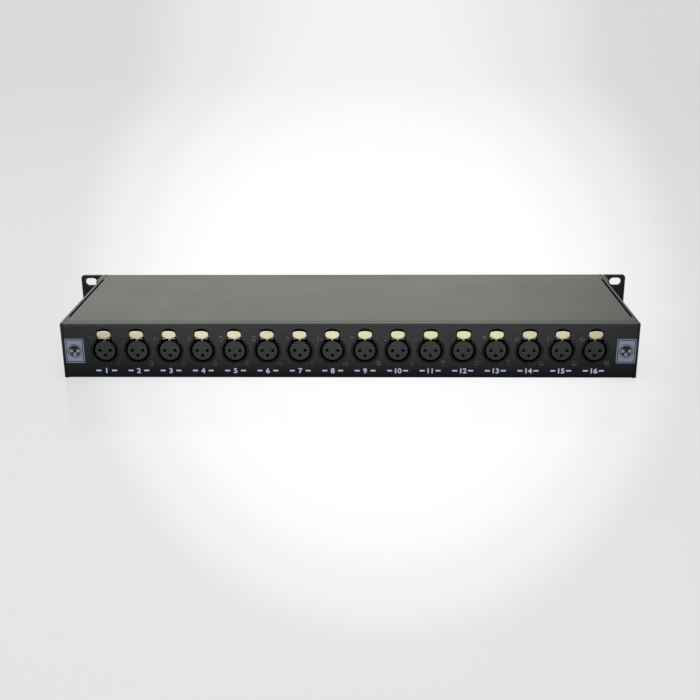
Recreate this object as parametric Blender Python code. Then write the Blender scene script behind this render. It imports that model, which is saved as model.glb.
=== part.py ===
"""Rack lighting controller: a one-unit, 19-inch case with sixteen latching output sockets.

Lengths are in metres. +X runs along the row of sockets, -Y faces the person who plugs into
them, +Z is up, and the origin is the centre of the underside. The sockets are on the rear
panel; the front panel, between the rack ears, has the mains inlet, keys and display.
"""

import math

import bmesh
import bpy
from mathutils import Vector

# Clearance between pieces that touch
FIT_GAP = 0.0003

# Width over the rack ears, and how far each ear stands out from the case
RACK_WIDTH = 0.4826
EAR_REACH = 0.0208

# Case
CASE_WIDTH = RACK_WIDTH - 2 * EAR_REACH
CASE_DEPTH = 0.142
CASE_HEIGHT = 0.044
TRAY_SHEET = 0.002
COVER_SHEET = 0.0015
PANEL_SHEET = 0.0015
FOLD_RADIUS = 0.001
LIP_HEIGHT = 0.0060
LIP_INSET = 0.008
PANEL_FLANGE = 0.0055
COVER_GROOVE = 0.0018
COVER_CORNER = 0.017
COVER_DROP = 0.014

# Pressed dimples in the side walls, for the cover's screws
DIMPLE_COUNT = 2
DIMPLE_PITCH = 0.080
DIMPLE_BELOW_TOP = 0.008
DIMPLE_RADIUS = 0.0040
DIMPLE_TAPER = 0.0012

# Rack ears
RACK_SLOT_INSET = 0.00875
RACK_SLOT_PITCH = 0.03175
RACK_SLOT_LENGTH = 0.010
RACK_SLOT_WIDTH = 0.0065
EAR_SHEET = 0.002
EAR_RETURN = 0.022
EAR_CORNER = 0.003
EAR_TRIM = 0.00015
EAR_SCREW_PITCH = 0.020
EAR_SCREW_RADIUS = 0.0017
EAR_SCREW_INSET = 0.014

# Output sockets
SOCKET_COUNT = 16
SOCKET_ROW_MARGIN = 0.0205
SOCKET_HEIGHT = 0.022
BORE_RADIUS = 0.0095
BORE_DEPTH = 0.0165
BARREL_WALL = 0.00105
INSERT_RADIUS = 0.0075
INSERT_SETBACK = 0.0015
CONTACT_CIRCLE = 0.0040
CONTACT_RADIUS = 0.00145
CONTACT_DEPTH = 0.010
SHELL_GAP = 0.0006
SHELL_FOOT = 0.0122
SHELL_TOP = 0.0192
SHELL_FLANGE = 0.0025
SHELL_DEPTH = 0.025
SHOULDER_RISE = 0.004
TOWER_WALL = 0.0016
TOWER_TOP = 0.016
SOCKET_SCREW_OFFSET = 0.0099
SOCKET_SCREW_RADIUS = 0.0023

# Slot above each socket, where the latch's tab comes through the panel
TAB_SLOT_WIDTH = 0.0125
TAB_SLOT_TOP = 0.0174
TAB_SLOT_ARCH = 0.0075
TAB_SLOT_RELIEF = 0.00015

# Latch
TAB_WIDTH = 0.0112
TAB_CLEARANCE = 0.0012
TAB_HEIGHT = 0.0054
TAB_ARCH = 0.0070
TAB_SHOULDER = 0.0020
TAB_FOOT_RADIUS = 0.0014
TAB_PROUD = 0.0005
NECK_WIDTH = 0.0063
LATCH_SHEET = 0.0009
ARM_LIFT = 0.0004
ARM_FLOOR_GAP = 0.0004
ARM_WIDTH = 0.0098
HOOK_START = 0.0034
HOOK_END = 0.0062
HOOK_BITE = 0.00075
HOOK_WIDTH = 0.0032
PIVOT_DEPTH = 0.0185
PIVOT_RISE = 0.0013
TRUNNION_RADIUS = 0.0009
TRUNNION_LENGTH = 0.0154
TAIL_LENGTH = 0.003
LATCH_SWING = 3.4
LEAF_SHEET = 0.00035
LEAF_WIDTH = 0.003

# Circuit boards
BOARD_SHEET = 0.0016
STANDOFF_RADIUS = 0.0025
BOARD_SPACING = 0.007
OUTPUT_BOARD_MARGIN = 0.0195
OUTPUT_BOARD_DEPTH = 0.0415
OUTPUT_BOARD_SETBACK = 0.0045
MAIN_BOARD_MARGIN = 0.0135
MAIN_BOARD_GAP = 0.004
MAIN_BOARD_SETBACK = 0.003
CHIP_HEIGHT = 0.002
DRIVER_SIZE = (0.012, 0.005)
PROCESSOR_SIZE = (0.018, 0.018)
MEMORY_SIZE = (0.012, 0.010)
MEMORY_OFFSET = -0.030
HEADER_HEIGHT = 0.006
HEADER_DEPTH = 0.005
LEAD_BLOCK_SIZE = (0.008, 0.010, 0.009)
LEAD_BLOCK_INSET = 0.005
LEAD_BLOCK_PITCH = 0.026

# Power supply
SUPPLY_START = 0.070
SUPPLY_MARGIN = 0.0205
SUPPLY_CLEARANCE = 0.002
TRANSFORMER_SIZE = (0.028, 0.026, 0.020)
CAPACITOR_RADIUS = 0.0065
CAPACITOR_HEIGHT = 0.022
HEATSINK_HEIGHT = 0.024
HEATSINK_FIN = 0.0016
HEATSINK_FINS = 5
HEATSINK_DEPTH = 0.022
HEATSINK_WEB = 0.0035
TERMINAL_SIZE = (0.014, 0.008, 0.009)
TERMINAL_INSET = 0.001

# Mains inlet
INLET_INSET = 0.0425
INLET_BEZEL = (0.031, 0.035)
INLET_BEZEL_SHEET = 0.0025
INLET_BODY = (0.0266, 0.031)
INLET_BODY_DEPTH = 0.026
INLET_MOUTH = (0.0245, 0.0165)
INLET_MOUTH_RISE = 0.005
INLET_MOUTH_DEPTH = 0.0165
INLET_CHAMFER = 0.004
BLADE_SIZE = (0.002, 0.004, 0.0145)
BLADE_SPREAD = 0.007
BLADE_OFFSET = 0.002
INLET_TAB = (0.0063, 0.0008, 0.007)

# Fuse drawer
DRAWER_SLOT = (0.0226, 0.0084)
DRAWER_DROP = 0.0100
DRAWER_DEPTH = 0.022
DRAWER_FACE = 0.0022
DRAWER_TROUGH = 0.0052
DRAWER_GRIP = (0.0088, 0.0020)
FUSE_RADIUS = 0.0024
FUSE_LENGTH = 0.0185

# Rocker switch
SWITCH_INSET = 0.0865
SWITCH_BEZEL = (0.015, 0.021)
SWITCH_BEZEL_SHEET = 0.002
SWITCH_BODY = (0.0126, 0.0186)
SWITCH_BODY_DEPTH = 0.014
SWITCH_WELL = (0.0108, 0.0164)
SWITCH_WELL_DEPTH = 0.011
SWITCH_TAB_OFFSET = 0.0046
ROCKER_LENGTH = 0.0152
ROCKER_RISE = 0.0042
ROCKER_DISH = 0.0010
ROCKER_KEEL = 0.0048
ROCKER_KEEL_WIDTH = 0.0038
ROCKER_SHOULDER = 0.0012
ROCKER_TILT = 7.0
ROCKER_PIN_RADIUS = 0.0010
ROCKER_PIN_REACH = 0.0005
ROCKER_PIVOT_BACK = 0.0022

# Network jack
JACK_INSET = 0.0405
JACK_PORTS = 2
JACK_PORT_PITCH = 0.0165
JACK_SIDE_WALL = 0.0026
JACK_HEIGHT = 0.0135
JACK_DEPTH = 0.021
PORT_MOUTH = (0.0119, 0.0070)
PORT_KEY = (0.0062, 0.0028)
PORT_RISE = 0.0044
PORT_DEPTH = 0.0135

# Display, keys and status lights on the front panel
WINDOW_X = -0.062
WINDOW_SIZE = (0.066, 0.017)
WINDOW_LEDGE = 0.002
WINDOW_SHEET = 0.001
MODULE_SIZE = (0.072, 0.025, 0.006)
MODULE_BEZEL = 0.003
MODULE_RECESS = 0.0008
DISPLAY_BOARD_X = 0.0
DISPLAY_BOARD_WIDTH = 0.204
DISPLAY_BOARD_HEIGHT = 0.030
KEY_COUNT = 4
KEY_PITCH = 0.014
KEY_X = 0.007
KEY_RADIUS = 0.0040
KEY_PROUD = 0.0016
KEY_DOME = 0.0003
KEY_COLLAR = 0.0012
KEY_COLLAR_SHEET = 0.0009
KEY_STEM_RADIUS = 0.0015
KEY_TRAVEL = 0.0005
KEY_SWITCH_SIZE = (0.006, 0.006, 0.0035)
LENS_COUNT = 4
LENS_PITCH = 0.010
LENS_X = 0.070
LENS_SIZE = (0.005, 0.002)
LENS_PROUD = 0.0003
PIPE_RAIL_HEIGHT = 0.006
PIPE_RAIL_DEPTH = 0.0022

# Leads inside the case
MAINS_LEAD_RADIUS = 0.0016
THIN_LEAD_RADIUS = 0.0012
LEAD_STUB = 0.0045
LEAD_SAG = 0.0005
FLAT_CABLE_SHEET = 0.0009
FLAT_CABLE_WIDTH = 0.020
EARTH_STUD_RADIUS = 0.002
EARTH_STUD_HEIGHT = 0.006
EARTH_STUD_SIDE = 0.0125
EARTH_STUD_INSET = 0.019

# Facets along round stretches
BORE_STEPS = 16
INSERT_STEPS = 14
KEY_STEPS = 12
SLOT_STEPS = 5
HOLE_STEPS = 6
LEAD_SPANS = 2
FOLD_STEPS = 2
ARCH_STEPS = 4
ARM_STEPS = 3
SHARP_ANGLE = 40

# Points closer than this are one point
SAME_PLACE = 1e-6

# Places that several pieces share
REAR = -CASE_DEPTH / 2
FRONT = CASE_DEPTH / 2
WALL_INSIDE = CASE_WIDTH / 2 - TRAY_SHEET
PANEL_HALF_WIDTH = WALL_INSIDE - FIT_GAP
MID_HEIGHT = CASE_HEIGHT / 2
BARREL_RADIUS = BORE_RADIUS + BARREL_WALL
PANEL_HOLE_RADIUS = BARREL_RADIUS + FIT_GAP
SOCKET_PITCH = (CASE_WIDTH - 2 * SOCKET_ROW_MARGIN) / SOCKET_COUNT
SHELL_WIDTH = SOCKET_PITCH - SHELL_GAP
SHELL_FRONT = PANEL_SHEET + FIT_GAP
BOARD_TOP = SOCKET_HEIGHT - SHELL_FOOT - FIT_GAP
BOARD_BOTTOM = BOARD_TOP - BOARD_SHEET
ARM_INSIDE = BORE_RADIUS + ARM_LIFT
PIVOT_HEIGHT = ARM_INSIDE + PIVOT_RISE
CHANNEL_FLOOR = math.sqrt(ARM_INSIDE**2 - (ARM_WIDTH / 2) ** 2) - ARM_FLOOR_GAP
INLET_X = CASE_WIDTH / 2 - INLET_INSET
SWITCH_X = CASE_WIDTH / 2 - SWITCH_INSET
JACK_X = JACK_INSET - CASE_WIDTH / 2
OUTPUT_BOARD_WIDTH = CASE_WIDTH - 2 * OUTPUT_BOARD_MARGIN
INNER_ROW = REAR + OUTPUT_BOARD_SETBACK + OUTPUT_BOARD_DEPTH + BOARD_SPACING
MAIN_BOARD_EDGE = DISPLAY_BOARD_X - DISPLAY_BOARD_WIDTH / 2 - MAIN_BOARD_GAP
MAIN_BOARD_WIDTH = MAIN_BOARD_EDGE + CASE_WIDTH / 2 - MAIN_BOARD_MARGIN
MAIN_BOARD_DEPTH = FRONT - MAIN_BOARD_SETBACK - INNER_ROW
MAIN_BOARD_X = MAIN_BOARD_EDGE - MAIN_BOARD_WIDTH / 2
SUPPLY_WIDTH = CASE_WIDTH / 2 - SUPPLY_MARGIN - SUPPLY_START
SUPPLY_DEPTH = FRONT - INLET_BODY_DEPTH - INLET_TAB[2] - SUPPLY_CLEARANCE - INNER_ROW
SUPPLY_X = SUPPLY_START + SUPPLY_WIDTH / 2
SUPPLY_Y = INNER_ROW + SUPPLY_DEPTH / 2
EARTH_STUD_X = CASE_WIDTH / 2 - EARTH_STUD_SIDE
EARTH_STUD_Y = FRONT - EARTH_STUD_INSET
SOCKET_XS = [(i - (SOCKET_COUNT - 1) / 2) * SOCKET_PITCH for i in range(SOCKET_COUNT)]
KEY_XS = [KEY_X + (i - (KEY_COUNT - 1) / 2) * KEY_PITCH for i in range(KEY_COUNT)]
LENS_XS = [LENS_X + (i - (LENS_COUNT - 1) / 2) * LENS_PITCH for i in range(LENS_COUNT)]
SCREW_CORNERS = ((-1, 1), (1, -1))


# Outlines: lists of (a, b) points, counter-clockwise


def rectangle(low_a, high_a, low_b, high_b):
    return [(low_a, low_b), (high_a, low_b), (high_a, high_b), (low_a, high_b)]


def centred(size, a=0.0, b=0.0):
    """Rectangle of a (width, height) size about the point (a, b)."""
    return rectangle(a - size[0] / 2, a + size[0] / 2, b - size[1] / 2, b + size[1] / 2)


def grown(size, margin):
    return (size[0] + 2 * margin, size[1] + 2 * margin)


def arc(centre, radius, start, end, steps):
    """Points along an arc, with its ends, between two angles in degrees."""
    turns = [math.radians(start + (end - start) * i / steps) for i in range(steps + 1)]
    return [(centre[0] + radius * math.cos(t), centre[1] + radius * math.sin(t)) for t in turns]


def circle(centre, radius, steps):
    return arc(centre, radius, 0, 360, steps)[:-1]


def shifted(outline, a, b):
    return [(x + a, y + b) for x, y in outline]


def slot_outline(centre, length, width, steps):
    """Slot with round ends, along the first direction."""
    reach = (length - width) / 2
    right = arc((centre[0] + reach, centre[1]), width / 2, -90, 90, steps)
    left = arc((centre[0] - reach, centre[1]), width / 2, 90, 270, steps)
    return right + left


def keyhole(radius, slot_width, top, arch):
    """Round hole with an arched slot above it."""
    foot = math.degrees(math.acos(slot_width / 2 / radius))
    spring = math.degrees(math.acos(slot_width / 2 / arch))
    bowl = arc((0, 0), radius, 180 - foot, 360 + foot, BORE_STEPS)
    return bowl + arc((0, top - arch), arch, spring, 180 - spring, ARCH_STEPS)


def folded_channel(half_width, low, high, sheet, fold):
    """Section of a sheet folded up along both sides: a flat web with two walls."""
    outer = fold + sheet
    right = half_width - outer
    outline = [(-half_width, high)]
    outline += arc((-right, low + outer), outer, 180, 270, FOLD_STEPS)
    outline += arc((right, low + outer), outer, 270, 360, FOLD_STEPS)
    outline += [(half_width, high), (half_width - sheet, high)]
    outline += arc((right, low + outer), fold, 360, 270, FOLD_STEPS)
    outline += arc((-right, low + outer), fold, 270, 180, FOLD_STEPS)
    outline += [(-half_width + sheet, high)]
    return outline


def folded_strip(route, sheet):
    """Outline of a thin strip that follows a route, half its sheet to each side."""
    left = []
    right = []
    for i, point in enumerate(route):
        before = Vector(route[max(i - 1, 0)])
        after = Vector(route[min(i + 1, len(route) - 1)])
        along = (after - before).normalized()
        aside = Vector((-along.y, along.x)) * sheet / 2
        left.append(tuple(Vector(point) + aside))
        right.append(tuple(Vector(point) - aside))
    return right + left[::-1]


# Solids: closed meshes


def prism(outline, axis, low, high):
    """Outline carried straight from low to high; it holds (y, z), (x, z) or (x, y) points."""
    place = {
        "X": lambda a, b, along: (along, a, b),
        "Y": lambda a, b, along: (a, along, b),
        "Z": lambda a, b, along: (a, b, along),
    }[axis]
    shape = bmesh.new()
    base = shape.faces.new([shape.verts.new(place(a, b, low)) for a, b in outline])
    made = bmesh.ops.extrude_face_region(shape, geom=[base])["geom"]
    ends = [item for item in made if isinstance(item, bmesh.types.BMVert)]
    bmesh.ops.translate(shape, verts=ends, vec=Vector(place(0, 0, high - low)))
    bmesh.ops.recalc_face_normals(shape, faces=shape.faces)
    mesh = bpy.data.meshes.new("prism")
    shape.to_mesh(mesh)
    shape.free()
    return mesh


def block(low, high):
    """Box between two corners."""
    return prism(rectangle(low[0], high[0], low[1], high[1]), "Z", low[2], high[2])


def turned(profile, steps):
    """Solid of revolution about Y; the profile's (radius, y) points start and end on the axis."""
    shape = bmesh.new()
    points = [shape.verts.new((radius, y, 0)) for radius, y in profile]
    edges = [shape.edges.new(pair) for pair in zip(points, points[1:])]
    bmesh.ops.spin(
        shape, geom=points + edges, cent=(0, 0, 0), axis=(0, 1, 0),
        angle=math.tau, steps=steps, use_merge=True,
    )
    bmesh.ops.remove_doubles(shape, verts=shape.verts, dist=SAME_PLACE)
    bmesh.ops.recalc_face_normals(shape, faces=shape.faces)
    mesh = bpy.data.meshes.new("turned")
    shape.to_mesh(mesh)
    shape.free()
    return mesh


def gathered(meshes):
    """Separate solids held in one mesh, as a gang of cutters."""
    shape = bmesh.new()
    for mesh in meshes:
        shape.from_mesh(mesh)
        bpy.data.meshes.remove(mesh)
    result = bpy.data.meshes.new("gathered")
    shape.to_mesh(result)
    shape.free()
    return result


def combined(mesh, others, operation):
    """Mesh after a Boolean with each of the others in turn."""
    target = bpy.data.objects.new("target", mesh)
    bpy.context.collection.objects.link(target)
    for other in others:
        tool = bpy.data.objects.new("tool", other)
        bpy.context.collection.objects.link(tool)
        modifier = target.modifiers.new("boolean", "BOOLEAN")
        modifier.operation = operation
        modifier.object = tool
        graph = bpy.context.evaluated_depsgraph_get()
        target.data = bpy.data.meshes.new_from_object(target.evaluated_get(graph))
        target.modifiers.remove(modifier)
        bpy.data.objects.remove(tool)
    result = target.data
    bpy.data.objects.remove(target)
    return result


def fused(mesh, *others):
    return combined(mesh, others, "UNION")


def carved(mesh, *others):
    return combined(mesh, others, "DIFFERENCE")


def trimmed(mesh, other):
    return combined(mesh, [other], "INTERSECT")


# Scene objects


def finish(name, colour, roughness, metallic=0.0):
    material = bpy.data.materials.new(name)
    material.use_nodes = True
    shader = material.node_tree.nodes["Principled BSDF"]
    shader.inputs["Base Color"].default_value = (*colour, 1.0)
    shader.inputs["Roughness"].default_value = roughness
    shader.inputs["Metallic"].default_value = metallic
    return material


def place(name, mesh, material, location=(0, 0, 0), parent=None):
    """Scene object of a solid, shaded smooth across its small facets."""
    if not mesh.materials:
        mesh.materials.append(material)
    mesh.shade_smooth()
    mesh.set_sharp_from_angle(angle=math.radians(SHARP_ANGLE))
    piece = bpy.data.objects.new(name, mesh)
    piece.location = location
    piece.parent = parent
    bpy.context.collection.objects.link(piece)
    return piece


# Case: tray, panels, cover and ears


def dimple_places():
    ys = [(i - (DIMPLE_COUNT - 1) / 2) * DIMPLE_PITCH for i in range(DIMPLE_COUNT)]
    return [(y, CASE_HEIGHT - DIMPLE_BELOW_TOP) for y in ys]


def dimple(side, y, z, radius, start, end):
    """Round cone through a side wall, from start to end as distances from the middle plane."""
    outline = circle((y, z), radius, HOLE_STEPS)
    mesh = prism(outline, "X", side * start, side * end)
    for vertex in mesh.vertices:
        if abs(vertex.co.x - side * end) < SAME_PLACE:
            vertex.co.y = y + (vertex.co.y - y) * (1 - DIMPLE_TAPER / radius)
            vertex.co.z = z + (vertex.co.z - z) * (1 - DIMPLE_TAPER / radius)
    return mesh


def ear_screw_holes(reach):
    """Cutter for the two screws that hold an ear to its side wall."""
    y = FRONT - EAR_SCREW_INSET
    heights = (MID_HEIGHT - EAR_SCREW_PITCH / 2, MID_HEIGHT + EAR_SCREW_PITCH / 2)
    return gathered([prism(circle((y, z), EAR_SCREW_RADIUS, HOLE_STEPS), "X", *reach) for z in heights])


def board_corners(x, y, width, depth):
    """Places of the four standoffs near the corners of a board centred at (x, y)."""
    reach_x = width / 2 - 2 * STANDOFF_RADIUS
    reach_y = depth / 2 - 2 * STANDOFF_RADIUS
    return [(x + a * reach_x, y + b * reach_y) for a in (-1, 1) for b in (-1, 1)]


def standoff_places():
    """Board standoffs, as (x, y) points on the tray's floor."""
    output_y = REAR + OUTPUT_BOARD_SETBACK + OUTPUT_BOARD_DEPTH - 2 * STANDOFF_RADIUS
    output_x = OUTPUT_BOARD_WIDTH / 2 - 3 * STANDOFF_RADIUS
    places = [(output_x * share, output_y) for share in (-1, -1 / 3, 1 / 3, 1)]
    main_y = FRONT - MAIN_BOARD_SETBACK - MAIN_BOARD_DEPTH / 2
    places += board_corners(MAIN_BOARD_X, main_y, MAIN_BOARD_WIDTH, MAIN_BOARD_DEPTH)
    return places + board_corners(SUPPLY_X, SUPPLY_Y, SUPPLY_WIDTH, SUPPLY_DEPTH)


def base_tray():
    """Channel with a lip behind each panel, dimpled walls and clinched standoffs."""
    section = folded_channel(CASE_WIDTH / 2, 0, CASE_HEIGHT, TRAY_SHEET, FOLD_RADIUS)
    tray = prism(section, "Y", REAR, FRONT)
    notch_top = TRAY_SHEET + FOLD_RADIUS
    lip_half = WALL_INSIDE - LIP_INSET
    for side in (-1, 1):
        outside = side * (FRONT + FIT_GAP)
        lip_face = side * (FRONT - PANEL_SHEET - FIT_GAP)
        lip_back = lip_face - side * TRAY_SHEET
        ends = sorted((outside, lip_face))
        tray = carved(tray, block((-WALL_INSIDE, ends[0], -FIT_GAP), (WALL_INSIDE, ends[1], notch_top)))
        ends = sorted((lip_face, lip_back))
        tray = fused(tray, block((-lip_half, ends[0], 0), (lip_half, ends[1], LIP_HEIGHT)))
    wall = CASE_WIDTH / 2
    seat = WALL_INSIDE - COVER_GROOVE + FIT_GAP
    for side in (-1, 1):
        bosses = [dimple(side, y, z, DIMPLE_RADIUS, wall - TRAY_SHEET / 2, seat) for y, z in dimple_places()]
        hollows = [
            dimple(side, y, z, DIMPLE_RADIUS - DIMPLE_TAPER / 2, wall + FIT_GAP, seat + TRAY_SHEET / 2)
            for y, z in dimple_places()
        ]
        tray = carved(fused(tray, gathered(bosses)), gathered(hollows))
        reach = sorted((side * (wall + FIT_GAP), side * (WALL_INSIDE - FIT_GAP)))
        tray = carved(tray, ear_screw_holes(reach))
    posts = [
        prism(circle((x, y), STANDOFF_RADIUS, HOLE_STEPS), "Z", TRAY_SHEET / 2, BOARD_BOTTOM - FIT_GAP)
        for x, y in standoff_places()
    ]
    stud = circle((EARTH_STUD_X, EARTH_STUD_Y), EARTH_STUD_RADIUS, HOLE_STEPS)
    posts.append(prism(stud, "Z", TRAY_SHEET / 2, TRAY_SHEET + EARTH_STUD_HEIGHT))
    return fused(tray, gathered(posts))


def panel(side):
    """Plain panel with its folded top edge, at the front (side 1) or the rear (side -1)."""
    face = side * FRONT
    inward = -side
    outer = FOLD_RADIUS + PANEL_SHEET
    centre = (outer, CASE_HEIGHT - outer)
    section = [(0, FIT_GAP)]
    section += arc(centre, outer, 180, 90, FOLD_STEPS)
    section += [(PANEL_FLANGE, CASE_HEIGHT), (PANEL_FLANGE, CASE_HEIGHT - PANEL_SHEET)]
    section += arc(centre, FOLD_RADIUS, 90, 180, FOLD_STEPS)
    section += [(PANEL_SHEET, FIT_GAP)]
    section = [(face + inward * depth, z) for depth, z in section]
    return prism(section, "X", -PANEL_HALF_WIDTH, PANEL_HALF_WIDTH)


def rear_panel():
    """Panel with a keyhole and two screw holes for each socket."""
    opening = keyhole(PANEL_HOLE_RADIUS, TAB_SLOT_WIDTH, TAB_SLOT_TOP, TAB_SLOT_ARCH)
    reach = (REAR - FIT_GAP, REAR + PANEL_SHEET + FIT_GAP)
    cutters = []
    for x in SOCKET_XS:
        cutters.append(prism(shifted(opening, x, SOCKET_HEIGHT), "Y", *reach))
        for a, b in SCREW_CORNERS:
            centre = (x + a * SOCKET_SCREW_OFFSET, SOCKET_HEIGHT + b * SOCKET_SCREW_OFFSET)
            cutters.append(prism(circle(centre, SOCKET_SCREW_RADIUS, HOLE_STEPS), "Y", *reach))
    return carved(panel(-1), gathered(cutters))


def front_panel():
    """Panel with the cut-outs for the inlet, switch, jack, window, keys and lenses."""
    jack_width = (JACK_PORTS - 1) * JACK_PORT_PITCH + PORT_MOUTH[0] + 2 * JACK_SIDE_WALL
    jack_low = BOARD_TOP + FIT_GAP
    openings = [
        centred(grown(INLET_BODY, FIT_GAP), INLET_X, MID_HEIGHT),
        centred(grown(SWITCH_BODY, FIT_GAP), SWITCH_X, MID_HEIGHT),
        centred(grown((jack_width, JACK_HEIGHT), FIT_GAP), JACK_X, jack_low + JACK_HEIGHT / 2),
        centred(grown(WINDOW_SIZE, FIT_GAP), WINDOW_X, MID_HEIGHT),
    ]
    openings += [circle((x, MID_HEIGHT), KEY_RADIUS + FIT_GAP, KEY_STEPS) for x in KEY_XS]
    openings += [centred(grown(LENS_SIZE, FIT_GAP), x, MID_HEIGHT) for x in LENS_XS]
    reach = (FRONT - PANEL_SHEET - FIT_GAP, FRONT + FIT_GAP)
    return carved(panel(1), gathered([prism(outline, "Y", *reach) for outline in openings]))


def top_cover():
    """Cover: full width at both ends, and folded down between them, inside the groove."""
    fold_end = CASE_DEPTH / 2 - COVER_CORNER
    end = CASE_DEPTH / 2 - PANEL_FLANGE - FIT_GAP
    half = WALL_INSIDE - COVER_GROOVE
    section = folded_channel(half, -CASE_HEIGHT, -CASE_HEIGHT + COVER_DROP, COVER_SHEET, FOLD_RADIUS)
    folded = prism([(x, -z) for x, z in section], "Y", -fold_end, fold_end)
    low = CASE_HEIGHT - COVER_SHEET
    overlap = FOLD_RADIUS + COVER_SHEET
    inner = half - overlap - FOLD_RADIUS
    for side in (-1, 1):
        ends = sorted((side * (fold_end - overlap), side * end))
        bridge = block((-inner, ends[0], low), (inner, ends[1], CASE_HEIGHT))
        ends = sorted((side * (fold_end + FIT_GAP), side * end))
        edge = block((-PANEL_HALF_WIDTH, ends[0], low), (PANEL_HALF_WIDTH, ends[1], CASE_HEIGHT))
        folded = fused(folded, bridge, edge)
    return folded


def rack_ear(side):
    """L bracket: a flange outside the side wall and a slotted plate in line with the front."""
    inner = CASE_WIDTH / 2 + FIT_GAP
    outer_fold = FOLD_RADIUS + EAR_SHEET
    centre = (inner + outer_fold, FRONT - outer_fold)
    section = [(inner + EAR_SHEET, FRONT - EAR_RETURN), (inner, FRONT - EAR_RETURN)]
    section += arc(centre, outer_fold, 180, 90, FOLD_STEPS)
    section += [(RACK_WIDTH / 2, FRONT), (RACK_WIDTH / 2, FRONT - EAR_SHEET)]
    section += arc(centre, FOLD_RADIUS, 90, 180, FOLD_STEPS)
    bracket = prism([(side * x, y) for x, y in section], "Z", EAR_TRIM, CASE_HEIGHT - EAR_TRIM)
    edge = RACK_WIDTH / 2
    top = CASE_HEIGHT - EAR_TRIM
    plate = [
        (inner - EAR_SHEET, top + EAR_SHEET), (inner - EAR_SHEET, -EAR_SHEET),
        (edge - EAR_CORNER, -EAR_SHEET),
    ]
    plate += arc((edge - EAR_CORNER, EAR_TRIM + EAR_CORNER), EAR_CORNER, 270, 360, FOLD_STEPS + 1)
    plate += arc((edge - EAR_CORNER, top - EAR_CORNER), EAR_CORNER, 0, 90, FOLD_STEPS + 1)
    plate += [(edge - EAR_CORNER, top + EAR_SHEET)]
    plate = [(side * x, z) for x, z in plate]
    bracket = trimmed(bracket, prism(plate, "Y", FRONT - EAR_RETURN - EAR_SHEET, FRONT + EAR_SHEET))
    slots = [
        prism(
            slot_outline((side * (edge - RACK_SLOT_INSET), z), RACK_SLOT_LENGTH, RACK_SLOT_WIDTH, SLOT_STEPS),
            "Y", FRONT - 2 * EAR_SHEET, FRONT + EAR_SHEET,
        )
        for z in (MID_HEIGHT - RACK_SLOT_PITCH / 2, MID_HEIGHT + RACK_SLOT_PITCH / 2)
    ]
    reach = sorted((side * (inner - EAR_SHEET), side * (inner + 2 * EAR_SHEET)))
    return carved(bracket, gathered(slots), ear_screw_holes(reach))


# Output sockets: depths run inwards from the rear panel's face, heights from the bore's axis


def socket_shell():
    """Moulded shell with its barrel, latch channel, leaf spring and contact insert."""
    half = SHELL_WIDTH / 2
    slot_half = TAB_SLOT_WIDTH / 2 + TAB_SLOT_RELIEF
    tower_half = slot_half + TOWER_WALL
    flange_back = SHELL_FRONT + SHELL_FLANGE
    shell = prism(rectangle(-half, half, -SHELL_FOOT, SHELL_TOP), "Y", SHELL_FRONT, flange_back)
    side = half - SHELL_GAP
    body = [
        (-side, -SHELL_FOOT), (side, -SHELL_FOOT), (side, SHOULDER_RISE),
        (tower_half, TOWER_TOP), (-tower_half, TOWER_TOP), (-side, SHOULDER_RISE),
    ]
    shell = fused(shell, prism(body, "Y", SHELL_FRONT + SHELL_FLANGE / 2, SHELL_DEPTH))
    barrel = circle((0, 0), BARREL_RADIUS, BORE_STEPS)
    shell = fused(shell, prism(barrel, "Y", 0, SHELL_FRONT + SHELL_FLANGE / 2))
    shell = carved(shell, prism(circle((0, 0), BORE_RADIUS, BORE_STEPS), "Y", -FIT_GAP, BORE_DEPTH))
    top = TAB_SLOT_TOP + TAB_SLOT_RELIEF
    spring = math.degrees(math.acos(slot_half / TAB_SLOT_ARCH))
    mouth = [(-slot_half, CHANNEL_FLOOR), (slot_half, CHANNEL_FLOOR)]
    mouth += arc((0, top - TAB_SLOT_ARCH), TAB_SLOT_ARCH, spring, 180 - spring, ARCH_STEPS)
    shell = carved(shell, prism(mouth, "Y", -FIT_GAP, flange_back + FIT_GAP))
    tail_end = PIVOT_DEPTH + TAIL_LENGTH + 2 * FIT_GAP
    channel = block((-slot_half, flange_back, CHANNEL_FLOOR), (slot_half, tail_end, SHELL_TOP))
    shell = carved(shell, channel)
    notch = TRUNNION_RADIUS + FIT_GAP
    low = PIVOT_HEIGHT - notch
    shell = carved(
        shell, block((-half, PIVOT_DEPTH - notch, low), (half, PIVOT_DEPTH + notch, SHELL_TOP))
    )
    insert = circle((0, 0), INSERT_RADIUS, INSERT_STEPS)
    shell = fused(shell, leaf_spring(), prism(insert, "Y", INSERT_SETBACK, BORE_DEPTH + FIT_GAP))
    holes = [
        prism(circle(centre, CONTACT_RADIUS, HOLE_STEPS), "Y", 0, INSERT_SETBACK + CONTACT_DEPTH)
        for centre in ((-CONTACT_CIRCLE, 0), (CONTACT_CIRCLE, 0), (0, -CONTACT_CIRCLE))
    ]
    return carved(shell, gathered(holes))


def leaf_spring():
    """Thin blade that rises from the channel's floor to just under the latch's tail."""
    tail = PIVOT_DEPTH + TAIL_LENGTH
    edge = math.sqrt(ARM_INSIDE**2 - (LEAF_WIDTH / 2) ** 2)
    swing = TAIL_LENGTH * math.sin(math.radians(LATCH_SWING))
    tip = edge - swing - FIT_GAP / 2
    root = PIVOT_DEPTH - TAIL_LENGTH / 2
    outline = [
        (root, CHANNEL_FLOOR - LEAF_SHEET), (root + LEAF_SHEET, CHANNEL_FLOOR - LEAF_SHEET),
        (tail, tip - LEAF_SHEET), (tail, tip), (root, CHANNEL_FLOOR + LEAF_SHEET),
    ]
    return prism(outline, "X", -LEAF_WIDTH / 2, LEAF_WIDTH / 2)


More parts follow.
